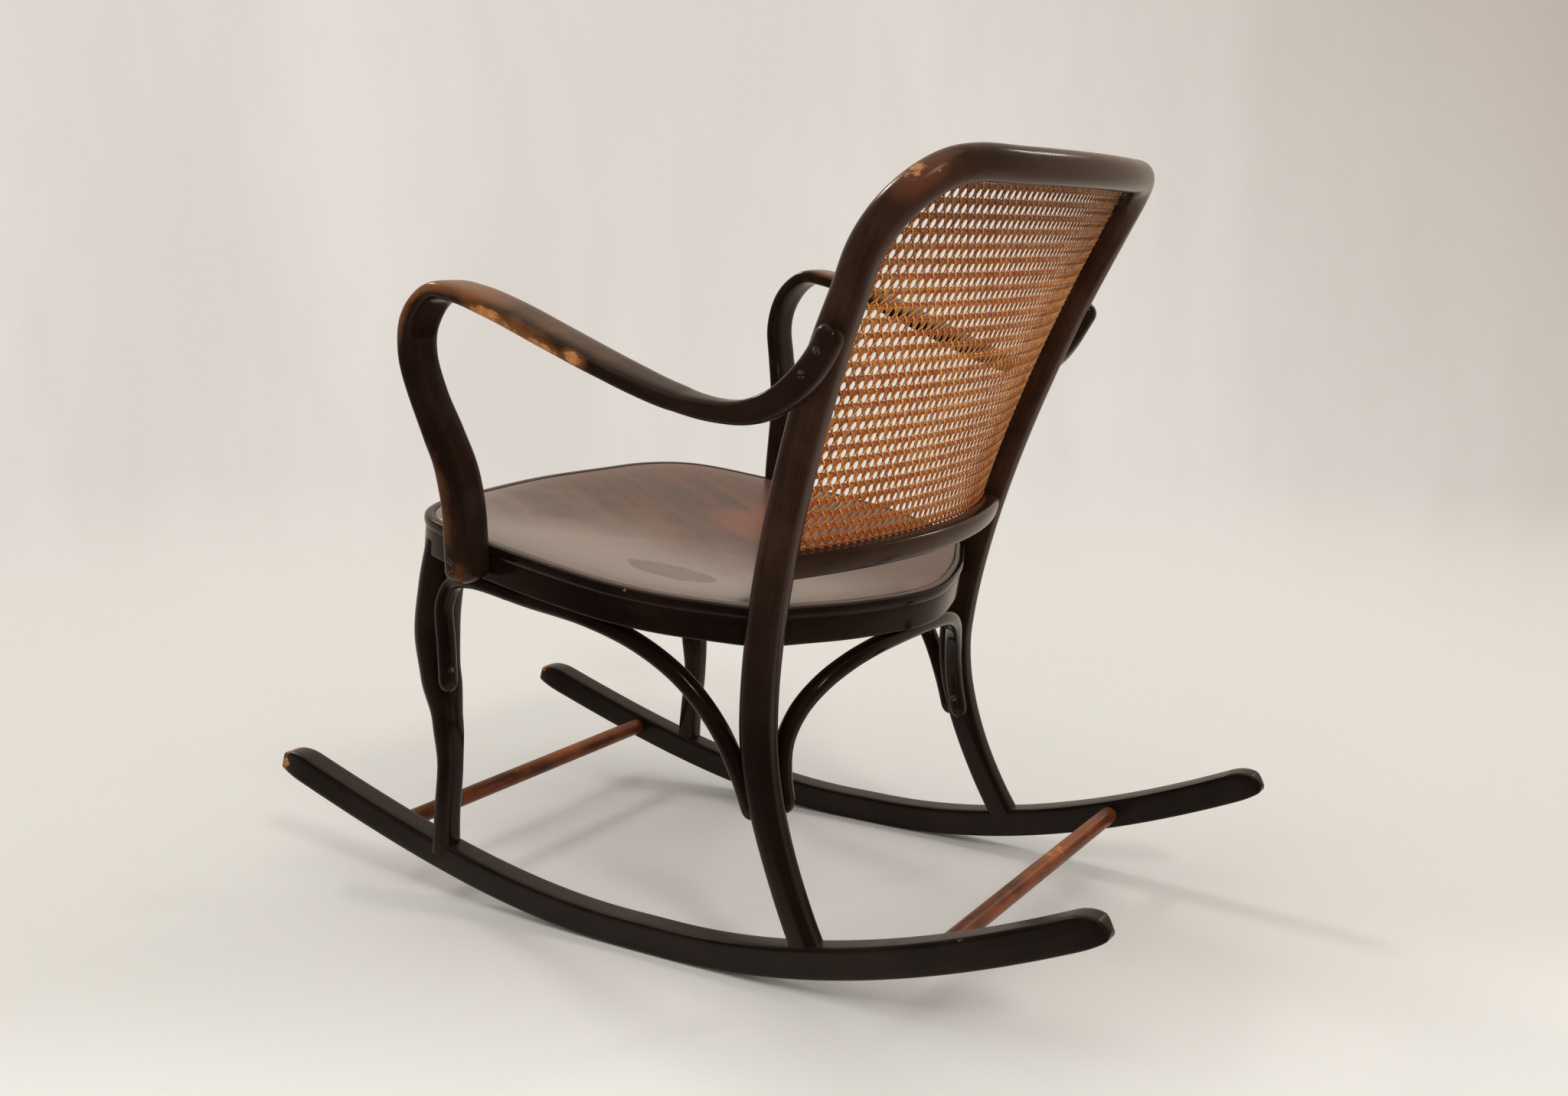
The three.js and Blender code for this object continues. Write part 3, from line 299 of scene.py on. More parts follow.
def seat_point(out, along, up):
    return SEAT @ Vector((out, along, up))


def rocker_underside(y):
    end = -1 if y < 0 else 1
    flat = ROCKER_FLAT / 2
    s = max(0.0, abs(y) - flat) / (ROCKER_REACH[end] - flat)
    k = ROCKER_STRAIGHTENING[end]
    return ROCKER_RISE[end] * (s**2 * (1 + k) - k * s**3)


def rocker_up(y):
    step = 3
    slope = (rocker_underside(y + step) - rocker_underside(y - step)) / (2 * step)
    return Vector((0, -slope, 1)).normalized()


def rocker_point(x, y, up):
    return Vector((x, y, rocker_underside(y))) + rocker_up(y) * up


def foot_share(z):
    return (WAIST_HEIGHT - z) / (WAIST_HEIGHT - ROCKER_DEEP)


def upright_share(z):
    return (z - WAIST_HEIGHT) / (SHOULDER_HEIGHT - WAIST_HEIGHT)


def bow_half_width(z):
    if z < WAIST_HEIGHT:
        return WAIST_HALF_WIDTH + WAIST_DRAWN_IN * foot_share(z) ** FOOT_BEND
    return WAIST_HALF_WIDTH + SHOULDER_SPLAY * upright_share(z) ** SPLAY_BEND


def bow_behind(z):
    if z < WAIST_HEIGHT:
        return WAIST_BEHIND + FOOT_KICK * foot_share(z) ** FOOT_BEND
    return WAIST_BEHIND + SHOULDER_LEAN * upright_share(z) ** LEAN_BEND


def upright_point(z):
    return Vector((bow_half_width(z), bow_behind(z), z))


def upright_fuller(z):
    """How much deeper than its ends the bow is at a height, all of it at the front."""
    below = ramp(FULLER_FROM, WAIST_HEIGHT, z)
    above = ramp(TOP_SWELL_FROM, SHOULDER_HEIGHT, z)
    return UPRIGHT_FULLER * below * (1 - above)


def back_point(x, z, behind):
    bulge = BACK_HOLLOW * (1 - (x / bow_half_width(z)) ** 2)
    return Vector((x, bow_behind(z) + bulge + behind, z))


def both_halves(half, crown):
    return [*half, crown, *[Vector((-p.x, p.y, p.z)) for p in reversed(half)]]


def bow_route():
    foot = ROCKER_DEEP - FOOT_TENON
    steps = 18
    heights = [foot + (SHOULDER_HEIGHT - foot) * i / steps for i in range(steps + 1)]
    side = [upright_point(z) - Y_AXIS * upright_fuller(z) / 2 for z in heights]
    shoulder = bow_half_width(SHOULDER_HEIGHT)
    corner = []
    for share in (0.25, 0.5, 0.75, 1):
        turn = share * math.pi / 2
        x = shoulder - CORNER_RADIUS * (1 - math.cos(turn))
        corner.append(back_point(x, SHOULDER_HEIGHT + CROWN_RISE * math.sin(turn), 0))
    rail_end = shoulder - CORNER_RADIUS
    rail = [back_point(rail_end * share, CROWN_HEIGHT, 0) for share in (0.66, 0.33)]
    return Route(both_halves([*side, *corner, *rail], back_point(0, CROWN_HEIGHT, 0)))


def ring_route():
    half = []
    for across, along in RING_OUTLINE:
        y = along * (RING_FRONT if along < 0 else RING_REAR)
        half.append(Vector((across * RING_HALF_WIDTH, y, 0)))
    other = [Vector((-p.x, p.y, 0)) for p in reversed(half[1:-1])]
    return Route([*half, *other], closed=True)


def leg_route():
    foot = rocker_point(LEG_HALF_SPACING, -LEG_AHEAD - LEG_FOOT_AHEAD, ROCKER_DEEP)
    top = seat_point(LEG_HALF_SPACING, -LEG_AHEAD + LEG_TOP_BACK, -RING_TALL)
    low, high = foot.z - OVERRUN, top.z + OVERRUN
    points = []
    for height, lean in zip(LEG_HEIGHTS, LEG_SETS):
        y = -LEG_AHEAD + (LEG_FOOT_AHEAD if lean < 0 else LEG_SHIN_BACK) * lean
        points.append(Vector((LEG_HALF_SPACING, y, mix(low, high, height))))
    return Route(points)


def arm_height(rise):
    return SEAT_HEIGHT - ARM_FOOT_BELOW_SEAT + ARM_RISE * rise


def arm_route():
    reach = ARM_FRONT_AHEAD + bow_behind(arm_height(ARM_REAR[-1][1])) + ARM_END_BEHIND
    post_out = RING_HALF_WIDTH * ARM_POST_RING + (RING_THICK + ARM_POST_WIDE) / 2 + CLEARANCE
    rest_out = post_out + ARM_FLARE
    beside_upright = (BOW_WIDE + ARM_END_WIDE) / 2 + CLEARANCE
    points = []
    for along, rise, flare in ARM_FRONT + ARM_REAR:
        z = arm_height(rise)
        front = (along, rise, flare) in ARM_FRONT
        out = post_out if front else bow_half_width(z) + beside_upright
        points.append(Vector((mix(out, rest_out, flare), reach * along - ARM_FRONT_AHEAD, z)))
    return Route(points)


def arm_wide(share):
    value = between(ARM_WIDES, share)
    far = ARM_END_WIDE if value < 0 else ARM_REST_WIDE
    return mix(ARM_POST_WIDE, far, abs(value))


def arm_thick(share):
    value = between(ARM_THICKS, share)
    far = ARM_END_THICK if value < 0 else ARM_FOOT_THICK
    return mix(ARM_REST_THICK, far, abs(value))


def side_brace_route():
    under = -RING_TALL - CLEARANCE - BRACE_DEEP / 2
    inside = RING_HALF_WIDTH - SIDE_BRACE_INSET
    leg_x = LEG_HALF_SPACING + SIDE_BRACE_OUT
    leg_y = -LEG_AHEAD + LEG_KNEE / 2 + BRACE_STAND_OFF
    bend = SIDE_BRACE_BEND
    run = [seat_point(inside, leg_y + bend * far, under) for far in SIDE_BRACE_RUN]
    low = SEAT_HEIGHT - SIDE_BRACE_BELOW_SEAT
    high = run[0].z - bend
    corner_back, corner_down = SIDE_BRACE_CORNER
    points = [
        Vector((leg_x, leg_y, low)),
        Vector((leg_x, leg_y, (low + high) / 2)),
        Vector((leg_x, leg_y, high)),
        Vector((leg_x, leg_y + bend * corner_back, run[0].z - bend * corner_down)),
        *run,
    ]
    last = points[-1]
    end = upright_point(SIDE_BRACE_REAR_END)
    end.y -= BOW_DEEP / 2 + BRACE_STAND_OFF
    for along, fall in SIDE_BRACE_FALLS:
        point = last.lerp(end, along)
        point.z = mix(last.z, end.z, fall)
        points.append(point)
    return Route(points)


def rear_brace_route():
    end_x = bow_half_width(REAR_BRACE_END) - (BOW_WIDE + BRACE_DEEP) / 2
    under = -RING_TALL - CLEARANCE - BRACE_DEEP / 2
    crown = seat_point(0, RING_REAR - BRACE_WIDE / 4, under)
    half = []
    for out, rise in REAR_BRACE_SPANS:
        z = mix(REAR_BRACE_END, crown.z, rise)
        leg_y = bow_behind(z) + BOW_DEEP / 6
        half.append(Vector((end_x * out, mix(leg_y, crown.y, 1 - out**2), z)))
    return Route(both_halves(half, crown))


# The frame's origin lies under the middle of its box
STRETCHER_SPOTS = [rocker_point(0, y, ROCKER_DEEP / 2) for y in STRETCHER_PLACES]
low_corner, high_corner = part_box("front_stretcher")
ORIGIN = Vector((0, (low_corner.y + high_corner.y) / (2 * MM) - STRETCHER_SPOTS[0].y, 0))


def placed(point):
    return (point + ORIGIN) * MM


# Mesh work


def new_skin():
    """An empty mesh, and the layers in which its corners keep their wood, how rubbed and
    thinned their polish is, and the cane strand edges that get painted shade.
    """
    skin = bmesh.new()
    layers = skin.verts.layers
    wood = layers.float_vector.new("straight")
    return skin, (wood, layers.float.new("wear_and_edge_shade"), layers.float.new("thinned"))


def set_corner(corner, layers, spot, wood, wear_and_shade, thin):
    """Puts a corner in place. wood is where it was in the wood before it was bent, the next
    value how far the polish is rubbed through there (1 at cane strand edges, which get
    painted shade), and thin how far it is thinned."""
    straight, wear_and_edge_shade, thinned = layers
    corner.co = placed(spot)
    corner[straight] = Vector(wood) * MM
    corner[wear_and_edge_shade] = wear_and_shade
    corner[thinned] = thin


def rolled(around, along, place):
    """A grid rolled into a skin. place(turn, share) gives what set_corner needs."""
    skin, layers = new_skin()
    bmesh.ops.create_grid(skin, x_segments=around, y_segments=along, size=1)
    for corner in skin.verts:
        turn, share = (corner.co.x + 1) / 2, (corner.co.y + 1) / 2
        set_corner(corner, layers, *place(turn, share))
    close_up(skin)
    return skin


def close_up(skin):
    bmesh.ops.remove_doubles(skin, verts=skin.verts, dist=WELD)
    rims = [edge for edge in skin.edges if edge.is_boundary]
    if rims:
        bmesh.ops.holes_fill(skin, edges=rims, sides=0)
    bmesh.ops.recalc_face_normals(skin, faces=skin.faces)


def added(name, data):
    made = bpy.data.objects.new(name, data)
    bpy.context.scene.collection.objects.link(made)
    return made


def covered(name, skin, look):
    """An object in the scene from a finished skin and its material."""
    mesh = bpy.data.meshes.new(name)
    skin.to_mesh(mesh)
    skin.free()
    mesh.materials.append(look)
    return added(name, mesh)


def piece(name, skin, look, nodes):
    """Turns a finished skin into a piece that rides on the chair in place of its nodes."""
    for face in skin.faces:
        face.smooth = True
    made = covered(name, skin, look)
    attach(made, "root")
    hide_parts(*nodes)


def add_pair(name, skin, look, node):
    """A left-hand piece and its mirrored copy."""
    other = skin.copy()
    bmesh.ops.scale(other, vec=(-1, 1, 1), verts=other.verts)
    bmesh.ops.reverse_faces(other, faces=other.faces)
    piece("left_" + name, skin, look, ["left_" + node])
    piece("right_" + name, other, look, ["right_" + node])


def rounded(turn, squareness):
    """Point on a rounded square, from -1 to 1 both ways. A squareness of 2 is round."""
    c, s = math.cos(2 * math.pi * turn), math.sin(2 * math.pi * turn)
    power = 2 / squareness
    return math.copysign(abs(c) ** power, c), math.copysign(abs(s) ** power, s)


def mark(centre, reach, side=None, narrow=1.0, wear_and_edge_shade=0.0, thinned=0.0):
    """A place where hands or knocks have rubbed a rod. It tells how far the polish is rubbed
    through and thinned at a share of the rod's length and a point of its section."""
    facing = Vector(side).normalized() if side else None

    def at(share, across, deep):
        near = smooth(1 - abs(share - centre) / reach)
        if near and facing:
            toward = Vector((across, deep)).normalized().dot(facing)
            near *= max(0.0, toward) ** narrow
        return near * wear_and_edge_shade, near * thinned

    return at


def rod(route, guide, section, marks=(), sides=32, step=3.0, corner_wear=0.25):
    """A bent rod whose width lies along guide. section(share) gives its width, depth,
    squareness and shift along its depth."""
    along = round(route.length / step)
    shares = tip_shares([i / along for i in range(along + 1)], route.length)
    last = len(shares) - 1
    frames = []
    for share in shares:
        centre = route.at(share)
        heading = route.heading(share)
        wide = (guide - heading * guide.dot(heading)).normalized()
        deep = heading.cross(wide)
        frames.append((share, centre, wide, deep, *section(share)))

    def place(turn, station):
        here = frames[round(station * last)]
        share, centre, wide, deep, width, depth, squareness, shift = here
        across, up = rounded(turn + 0.5 / sides, squareness)
        x, y = across * width / 2, up * depth / 2 + shift
        spot = centre + wide * x + deep * y
        sharp = min(abs(across), abs(up)) ** 2 * min(squareness / 4, 1)
        wear_and_shade, thin = corner_wear * sharp, 0.0
        for worn_at in marks:
            rubbed, thinned = worn_at(share, across, up)
            wear_and_shade = max(wear_and_shade, rubbed)
            thin = max(thin, thinned)
        return spot, (x, y, share * route.length), wear_and_shade, thin

    return rolled(sides, last, place)


TIP_STATIONS = (0.12, 0.5, 1.1, 2.0, 4.0, 5.0)


def tip_shares(shares, length):
    """Adds close stations at both ends, where a rod's tip is rounded."""
    fine = [distance / length for distance in TIP_STATIONS]
    return sorted(set(shares) | set(fine) | {1 - share for share in fine})


def tip_scale(share, route, tip, least):
    """Size of a rod by its rounded ends, which is 1 beyond their tips."""
    inside = min(min(share, 1 - share) * route.length / tip, 1.0)
    return least + (1 - least) * math.sqrt(max(0.0, 1 - (1 - inside) ** 2))


def even(width, depth, squareness):
    """A section that stays the same from end to end."""
    return lambda share: (width, depth, squareness, 0.0)


# Shader work


class Reading:
    """A shader socket that can be worked with as a number."""

    def __init__(self, look, socket):
        self.look = look
        self.socket = socket

    def _with(self, operation, a, b):
        return self.look.node("Math", {"operation": operation}, {0: a, 1: b})

    def __add__(self, other):
        return self._with("ADD", self, other)

    def __sub__(self, other):
        return self._with("SUBTRACT", self, other)

    def __rsub__(self, other):
        return self._with("SUBTRACT", other, self)

    def __mul__(self, other):
        return self._with("MULTIPLY", self, other)

    __radd__ = __add__
    __rmul__ = __mul__


class Look:
    """A material that is written line by line."""

    def __init__(self, name, kind="materials"):
        self.material = getattr(bpy.data, kind).new(name)
        self.material.use_nodes = True
        self.tree = self.material.node_tree
        self.tree.nodes.clear()

    def node(self, kind, settings=None, inputs=None, out=0):
        """Any node: its settings first, then the values or links of its sockets."""
        made = self.tree.nodes.new("ShaderNode" + kind)
        for key, value in (settings or {}).items():
            setattr(made, key, value)
        for key, value in (inputs or {}).items():
            socket = made.inputs[key]
            if isinstance(value, Reading):
                self.tree.links.new(value.socket, socket)
            else:
                socket.default_value = value
        return Reading(self, made.outputs[out])

    def attribute(self, name, out="Fac"):
        return self.node("Attribute", {"attribute_name": name}, out=out)

    def spot(self):
        return self.node("TexCoord", out="Object")

    def axis(self, vector, letter):
        return self.node("SeparateXYZ", {}, {0: vector}, letter)

    def vector(self, operation, inputs, out=0):
        return self.node("VectorMath", {"operation": operation}, inputs, out)

    def length(self, vector):
        return self.vector("LENGTH", {0: vector}, "Value")

    def toward(self, vector, side):
        return self.vector("DOT_PRODUCT", {0: vector, 1: side}, "Value")

    def stretched(self, vector, scale, shift=(0, 0, 0)):
        inputs = {"Vector": vector, "Scale": scale, "Location": shift}
        return self.node("Mapping", {}, inputs)

    def noise(self, vector, scale, detail=3.0, rough=0.5, out=0):
        inputs = {"Vector": vector, "Scale": scale, "Detail": detail, "Roughness": rough}
        return self.node("TexNoise", {}, inputs, out=out)

    def grain(self, vector, scale, detail=3.0, rough=0.5):
        """Noise with its own scale on each axis, so that it can run along the fibres."""
        return self.noise(self.stretched(vector, scale), 1.0, detail, rough)

    def blend(self, share, a, b):
        return self.node("Mix", {"data_type": "RGBA"}, {0: share, 6: a, 7: b}, out=2)

    def step(self, value, low, high):
        settings = {"interpolation_type": "SMOOTHSTEP"}
        inputs = {"Value": value, "From Min": low, "From Max": high}
        return self.node("MapRange", settings, inputs)

    def bump(self, height, strength, distance):
        inputs = {"Height": height, "Strength": strength, "Distance": distance}
        return self.node("Bump", {}, inputs)

    def surface(self, base, rough, normal, rest):
        sockets = {"Base Color": base, "Roughness": rough, "Normal": normal, **rest}
        return self.node("BsdfPrincipled", {}, sockets)

    def finish(self, surface):
        kind = "World" if isinstance(self.material, bpy.types.World) else "Material"
        output = self.tree.nodes.new("ShaderNodeOutput" + kind)
        self.tree.links.new(surface.socket, output.inputs["Surface"])
        return self.material


def colour(red, green, blue):
    return (red, green, blue, 1.0)


WARM_SHINE = colour(1.0, 0.84, 0.7)
NEAR_BLACK = colour(0.0045, 0.0022, 0.0019)
DARK_BROWN = colour(0.015, 0.0068, 0.0048)
RED_BROWN = colour(0.13, 0.04, 0.018)
GOLDEN_BROWN = colour(0.27, 0.1, 0.032)
BARE_BEECH = colour(0.62, 0.27, 0.1)
DUST = colour(0.2, 0.165, 0.135)
VENEER_SKEW = 25


def polished_wood(
    name, dark, brown, gloss, shine, thin=RED_BROWN, bare=BARE_BEECH, rubbed=0.0, dust=0.0,
    painted_low_shade=0.0,
):
    """Old dark polish over bent beech: fibres along the rod, brown where it is rubbed thin,
    bare orange wood where it is knocked, dust on top faces and painted shade low down,
    below the seat."""
    look = Look(name)
    straight = look.attribute("straight", "Vector")
    spot = look.spot()
    fibres = look.grain(straight, (900, 900, 26), 4.0, 0.6)
    streaks = look.grain(straight, (130, 130, 9))
    flecks = look.grain(straight, (1500, 1500, 170), 1.0)
    clouds = look.noise(spot, 14.0, 4.0, 0.6)
    grime = look.noise(spot, 60.0, 5.0, 0.65)
    cloudy, grimy = clouds - 0.5, grime - 0.5
    tone = look.step(streaks * 0.35 + clouds * 0.65 + fibres * 0.25, 0.45, 0.85)
    base = look.blend(tone, dark, brown)
    thinned = look.attribute("thinned") + cloudy * 0.8 + grimy * 0.4
    rub = look.step(thinned + rubbed, 0.25, 1.0)
    base = look.blend(rub, base, look.blend(fibres * 0.6, thin, brown))
    chips = look.step(look.attribute("wear_and_edge_shade") + grimy * 1.3 + cloudy * 0.6, 0.52, 0.66)
    wood = look.blend(look.step(grime + fibres * 0.4, 0.55, 0.95), thin, bare)
    base = look.blend(chips * 0.95, base, wood)
    base = look.blend(look.step(flecks, 0.62, 0.72) * 0.3, base, dark)
    rough = gloss + grimy * 0.16 + cloudy * 0.14 + chips * 0.2 + rub * 0.06
    # Painted shade: below the seat the wood is blended towards near black, where shade falls
    # under it.
    if painted_low_shade:
        low = 1.0 - look.step(look.axis(spot, "Z"), 0.2, 0.45)
        base = look.blend(low * painted_low_shade, base, NEAR_BLACK)
    if dust:
        up = look.axis(look.node("NewGeometry", out="Normal"), "Z")
        dusty = look.step(up, 0.6, 1.0) * dust * (0.6 + clouds * 0.8)
        base = look.blend(dusty, base, DUST)
        rough = rough + dusty * 0.3
    relief = fibres * 0.35 + flecks * 0.2 + grime * 0.5 - chips * 0.35
    rest = {"Specular IOR Level": shine, "Specular Tint": WARM_SHINE}
    return look.finish(look.surface(base, rough, look.bump(relief, 0.14, 0.0006), rest))


def seat_veneer():
    """Dished plywood under old polish: long veneer streaks set askew, a red rubbed place
    on the right, and on the left a dark stain and a paler sheen."""
    look = Look("seat_veneer")
    spot = look.spot()
    skew = (0, 0, math.radians(VENEER_SKEW))
    askew = look.node("Mapping", {}, {"Vector": spot, "Rotation": skew})
    waves = look.vector("SCALE", {0: look.noise(spot, 6.0, 2.0, out=1), "Scale": 0.03})
    path = look.vector("ADD", {0: askew, 1: waves})
    fibres = look.grain(path, (500, 22, 60), 4.0, 0.6)
    streaks = look.grain(path, (70, 3.5, 10))
    clouds = look.noise(spot, 9.0, 4.0, 0.6)
    grime = look.noise(spot, 45.0, 4.0, 0.65)
    cloudy, grimy, streaky = clouds - 0.5, grime - 0.5, streaks - 0.5
    tone = look.step(streaks * 0.5 + clouds * 0.5 + fibres * 0.3, 0.45, 0.9)
    base = look.blend(tone, colour(0.042, 0.0185, 0.012), colour(0.165, 0.067, 0.045))
    red = stain(look, spot, (-0.085, -0.05, 0.34), (0.085, 0.12, 0.3))
    red = look.step(red + cloudy * 1.2 + streaky * 0.9, 0.3, 1.0)
    base = look.blend(red * 0.85, base, colour(0.2, 0.062, 0.03))
    blot = stain(look, spot, (0.15, 0.004, 0.34), (0.034, 0.062, 0.3))
    blot = blot + grimy * 0.5 + cloudy * 0.5
    base = look.blend(look.step(blot, 0.1, 0.24) * 0.7, base, colour(0.03, 0.012, 0.009))
    base = look.blend(look.step(blot, 0.3, 0.5) * 0.35, base, colour(0.11, 0.055, 0.042))
    chips = look.step(look.attribute("wear_and_edge_shade") + grimy, 0.5, 0.65)
    base = look.blend(chips * 0.7, base, colour(0.2, 0.08, 0.035))
    sheen = look.step(look.axis(spot, "X") + cloudy * 0.2, -0.03, 0.15)
    relief = fibres * 0.4 + grime * 0.3 + streaks * 0.4
    rough = 0.26 + cloudy * 0.3 + streaky * 0.2 + chips * 0.2
    rest = {
        "Specular IOR Level": 0.4,
        "Specular Tint": WARM_SHINE,
        "Coat Weight": (0.08 + sheen * 0.9) * (1.0 - look.step(blot, 0.1, 0.3) * 0.55),
        "Coat Roughness": 0.16,
    }
    return look.finish(look.surface(base, rough, look.bump(relief, 0.12, 0.0006), rest))


def stain(look, spot, centre, reach):
    """A soft oval round a place, 1 in its middle and 0 at its reach."""
    scale = tuple(1 / r for r in reach)
    shift = tuple(-c / r for c, r in zip(centre, reach))
    return look.step(1.0 - look.length(look.stretched(spot, scale, shift)), 0.0, 0.8)


def split_cane():
    """Split cane skin: glossy, orange and tan strands with painted shade and dirt at their
    edges, redder near the foot, and darker near the top from dirt and painted shade
    under the top rail."""
    look = Look("split_cane")
    straight = look.attribute("straight", "Vector")
    spot = look.spot()
    strand = look.attribute("thinned")
    fibres = look.grain(straight, (2600, 2600, 40), 2.0)
    patches = look.grain(straight, (60, 60, 14), 2.0)
    cloudy = look.noise(spot, 8.0) - 0.5
    grime = look.noise(spot, 120.0, 2.0)
    tone = look.step(strand * 0.5 + patches * 0.5 + cloudy * 0.5, 0.25, 0.8)
    base = look.blend(tone, colour(0.38, 0.085, 0.013), colour(0.95, 0.46, 0.13))
    base = look.blend(look.step(fibres, 0.55, 0.75) * 0.4, base, colour(0.2, 0.07, 0.025))
    height = look.axis(spot, "Z")
    # Painted shade under the top rail, mixed with dirt: the cane darkens towards its top.
    top = look.step(height + cloudy * 0.06, 0.6, 0.71)
    foot = 1.0 - look.step(height + cloudy * 0.08, 0.375, 0.47)
    # Painted shade along the strand edges, mixed with random dirt, darkens the cane.
    dirt_and_edge_shade = look.step(grime * 0.6 + look.attribute("wear_and_edge_shade") * 0.65, 0.42, 0.8)
    base = look.blend(top * 0.62, base, colour(0.1, 0.04, 0.024))
    base = look.blend(foot * 0.55, base, colour(0.5, 0.105, 0.02))
    base = look.blend(dirt_and_edge_shade * 0.85, base, colour(0.085, 0.026, 0.009))
    rough = 0.42 + (grime - 0.5) * 0.3
    rest = {"Specular IOR Level": 0.2}
    return look.finish(look.surface(base, rough, look.bump(fibres, 0.2, 0.0002), rest))


def old_steel():
    """Slotted screw heads: browned steel with brighter rubbed places."""
    look = Look("old_steel")
    rust = look.noise(look.spot(), 420.0, 4.0, 0.6)
    shine = look.step(rust, 0.45, 0.62)
    base = look.blend(shine, colour(0.035, 0.022, 0.015), colour(0.2, 0.165, 0.13))
    rest = {"Metallic": 0.35 + shine * 0.5}
    rough = 0.55 - shine * 0.2
    return look.finish(look.surface(base, rough, look.bump(rust, 0.3, 0.0002), rest))


FRAME_WOOD = polished_wood("frame_polish", NEAR_BLACK, DARK_BROWN, gloss=0.13, shine=0.22)
# The bow gets painted shade low down, below the seat.
BOW_WOOD = polished_wood(
    "bow_polish", colour(0.02, 0.0095, 0.0065), colour(0.052, 0.0235, 0.0145),
    gloss=0.17, shine=0.26, painted_low_shade=0.85,
)
ARM_WOOD = polished_wood(
    "arm_polish", colour(0.009, 0.0045, 0.0034), colour(0.026, 0.0125, 0.0082),
    gloss=0.17, shine=0.15, thin=GOLDEN_BROWN,
)
ROCKER_WOOD = polished_wood(
    "rocker_polish", colour(0.005, 0.0029, 0.0027), colour(0.013, 0.0072, 0.0056),
    gloss=0.3, shine=0.25, dust=0.05,
)
STRETCHER_WOOD = polished_wood(
    "stretcher_polish", colour(0.05, 0.014, 0.005), colour(0.27, 0.066, 0.016),
    gloss=0.35, shine=0.25, thin=colour(0.46, 0.135, 0.032), bare=colour(0.62, 0.3, 0.13),
    rubbed=0.15, dust=0.04,
)
SEAT_WOOD = seat_veneer()
CANE = split_cane()
STEEL = old_steel()


# Rockers and stretchers


def make_rockers():
    steps = 40
    places = [ROCKER_REACH[-1 if i < 0 else 1] * i / steps for i in range(-steps, steps + 1)]
    route = Route([rocker_point(ROCKER_SPACING / 2, y, ROCKER_DEEP / 2) for y in places])

    def section(share):
        tip = ROCKER_TIP[-1 if route.at(share).y < 0 else 1]
        top = ROCKER_DEEP * tip_scale(share, route, tip, TIP_TOP_LEAST)
        low = ROCKER_DEEP * TIP_FOOT * (1 - tip_scale(share, route, tip, 0))
        wide = ROCKER_WIDE * tip_scale(share, route, tip, TIP_WIDE_LEAST)
        close = tip_scale(share, route, TIP_CLOSE, 0)
        shift = ROCKER_DEEP / 2 - (top + low) / 2
        return wide * close, (top - low) * close, ROCKER_SQUARE, shift

    marks = [
        mark(0.0, 0.05, wear_and_edge_shade=0.62, thinned=0.5),
        mark(1.0, 0.045, wear_and_edge_shade=0.36, thinned=0.3),
        mark(0.86, 0.1, (1, -1), 2.5, wear_and_edge_shade=0.42),
    ]
    skin = rod(route, X_AXIS, section, marks, sides=40, corner_wear=0.3)
    add_pair("runner", skin, ROCKER_WOOD, "rocker")


def make_stretchers():
    half = (ROCKER_SPACING - ROCKER_WIDE) / 2 + STRETCHER_SOCKET
    turned = even(2 * STRETCHER_RADIUS, 2 * STRETCHER_RADIUS, 2.0)
    marks = [mark(0.35, 0.5, (0, 1), 1.0, wear_and_edge_shade=0.45, thinned=0.6)]
    for name, spot in zip(("front", "rear"), STRETCHER_SPOTS):
        route = Route([spot + X_AXIS * half * i / 4 for i in range(-4, 5)])
        skin = rod(route, Y_AXIS, turned, marks, sides=28, corner_wear=0.15)
        node = name + "_stretcher"
        piece(name + "_crossbar", skin, STRETCHER_WOOD, [node])


# Bow, legs, arms and braces


def make_bow():
    route = bow_route()

    def section(share):
        z = route.at(share).z
        swell = ramp(TOP_SWELL_FROM, CROWN_HEIGHT, z)
        deep = mix(BOW_DEEP, TOP_RAIL_ROUND, swell) + upright_fuller(z)
        wide = mix(BOW_WIDE, TOP_RAIL_ROUND, swell)
        return deep, wide, mix(BOW_SQUARE, TOP_RAIL_SQUARE, swell), 0.0

    marks = [
        mark(0.383, 0.026, (0.3, -1), 1.2, wear_and_edge_shade=0.42, thinned=1.1),
        mark(0.433, 0.007, (0.2, -1), 3.0, wear_and_edge_shade=0.58, thinned=0.6),
        mark(0.49, 0.13, (0.4, -1), 1.2, thinned=0.5),
        mark(0.25, 0.13, (1, 0), 2.0, thinned=0.3),
    ]
    skin = rod(route, Y_AXIS, section, marks, sides=40)
    piece("bent_bow", skin, BOW_WOOD, ["back_bow"])


def make_legs():
    route = leg_route()

    def section(share):
        size = mix(LEG_ANKLE, LEG_KNEE, between(LEG_SWELLS, share))
        return size, size, LEG_SQUARE, 0.0

    skin = rod(route, X_AXIS, section, sides=40)
    add_pair("knee_leg", skin, FRAME_WOOD, "front_leg")


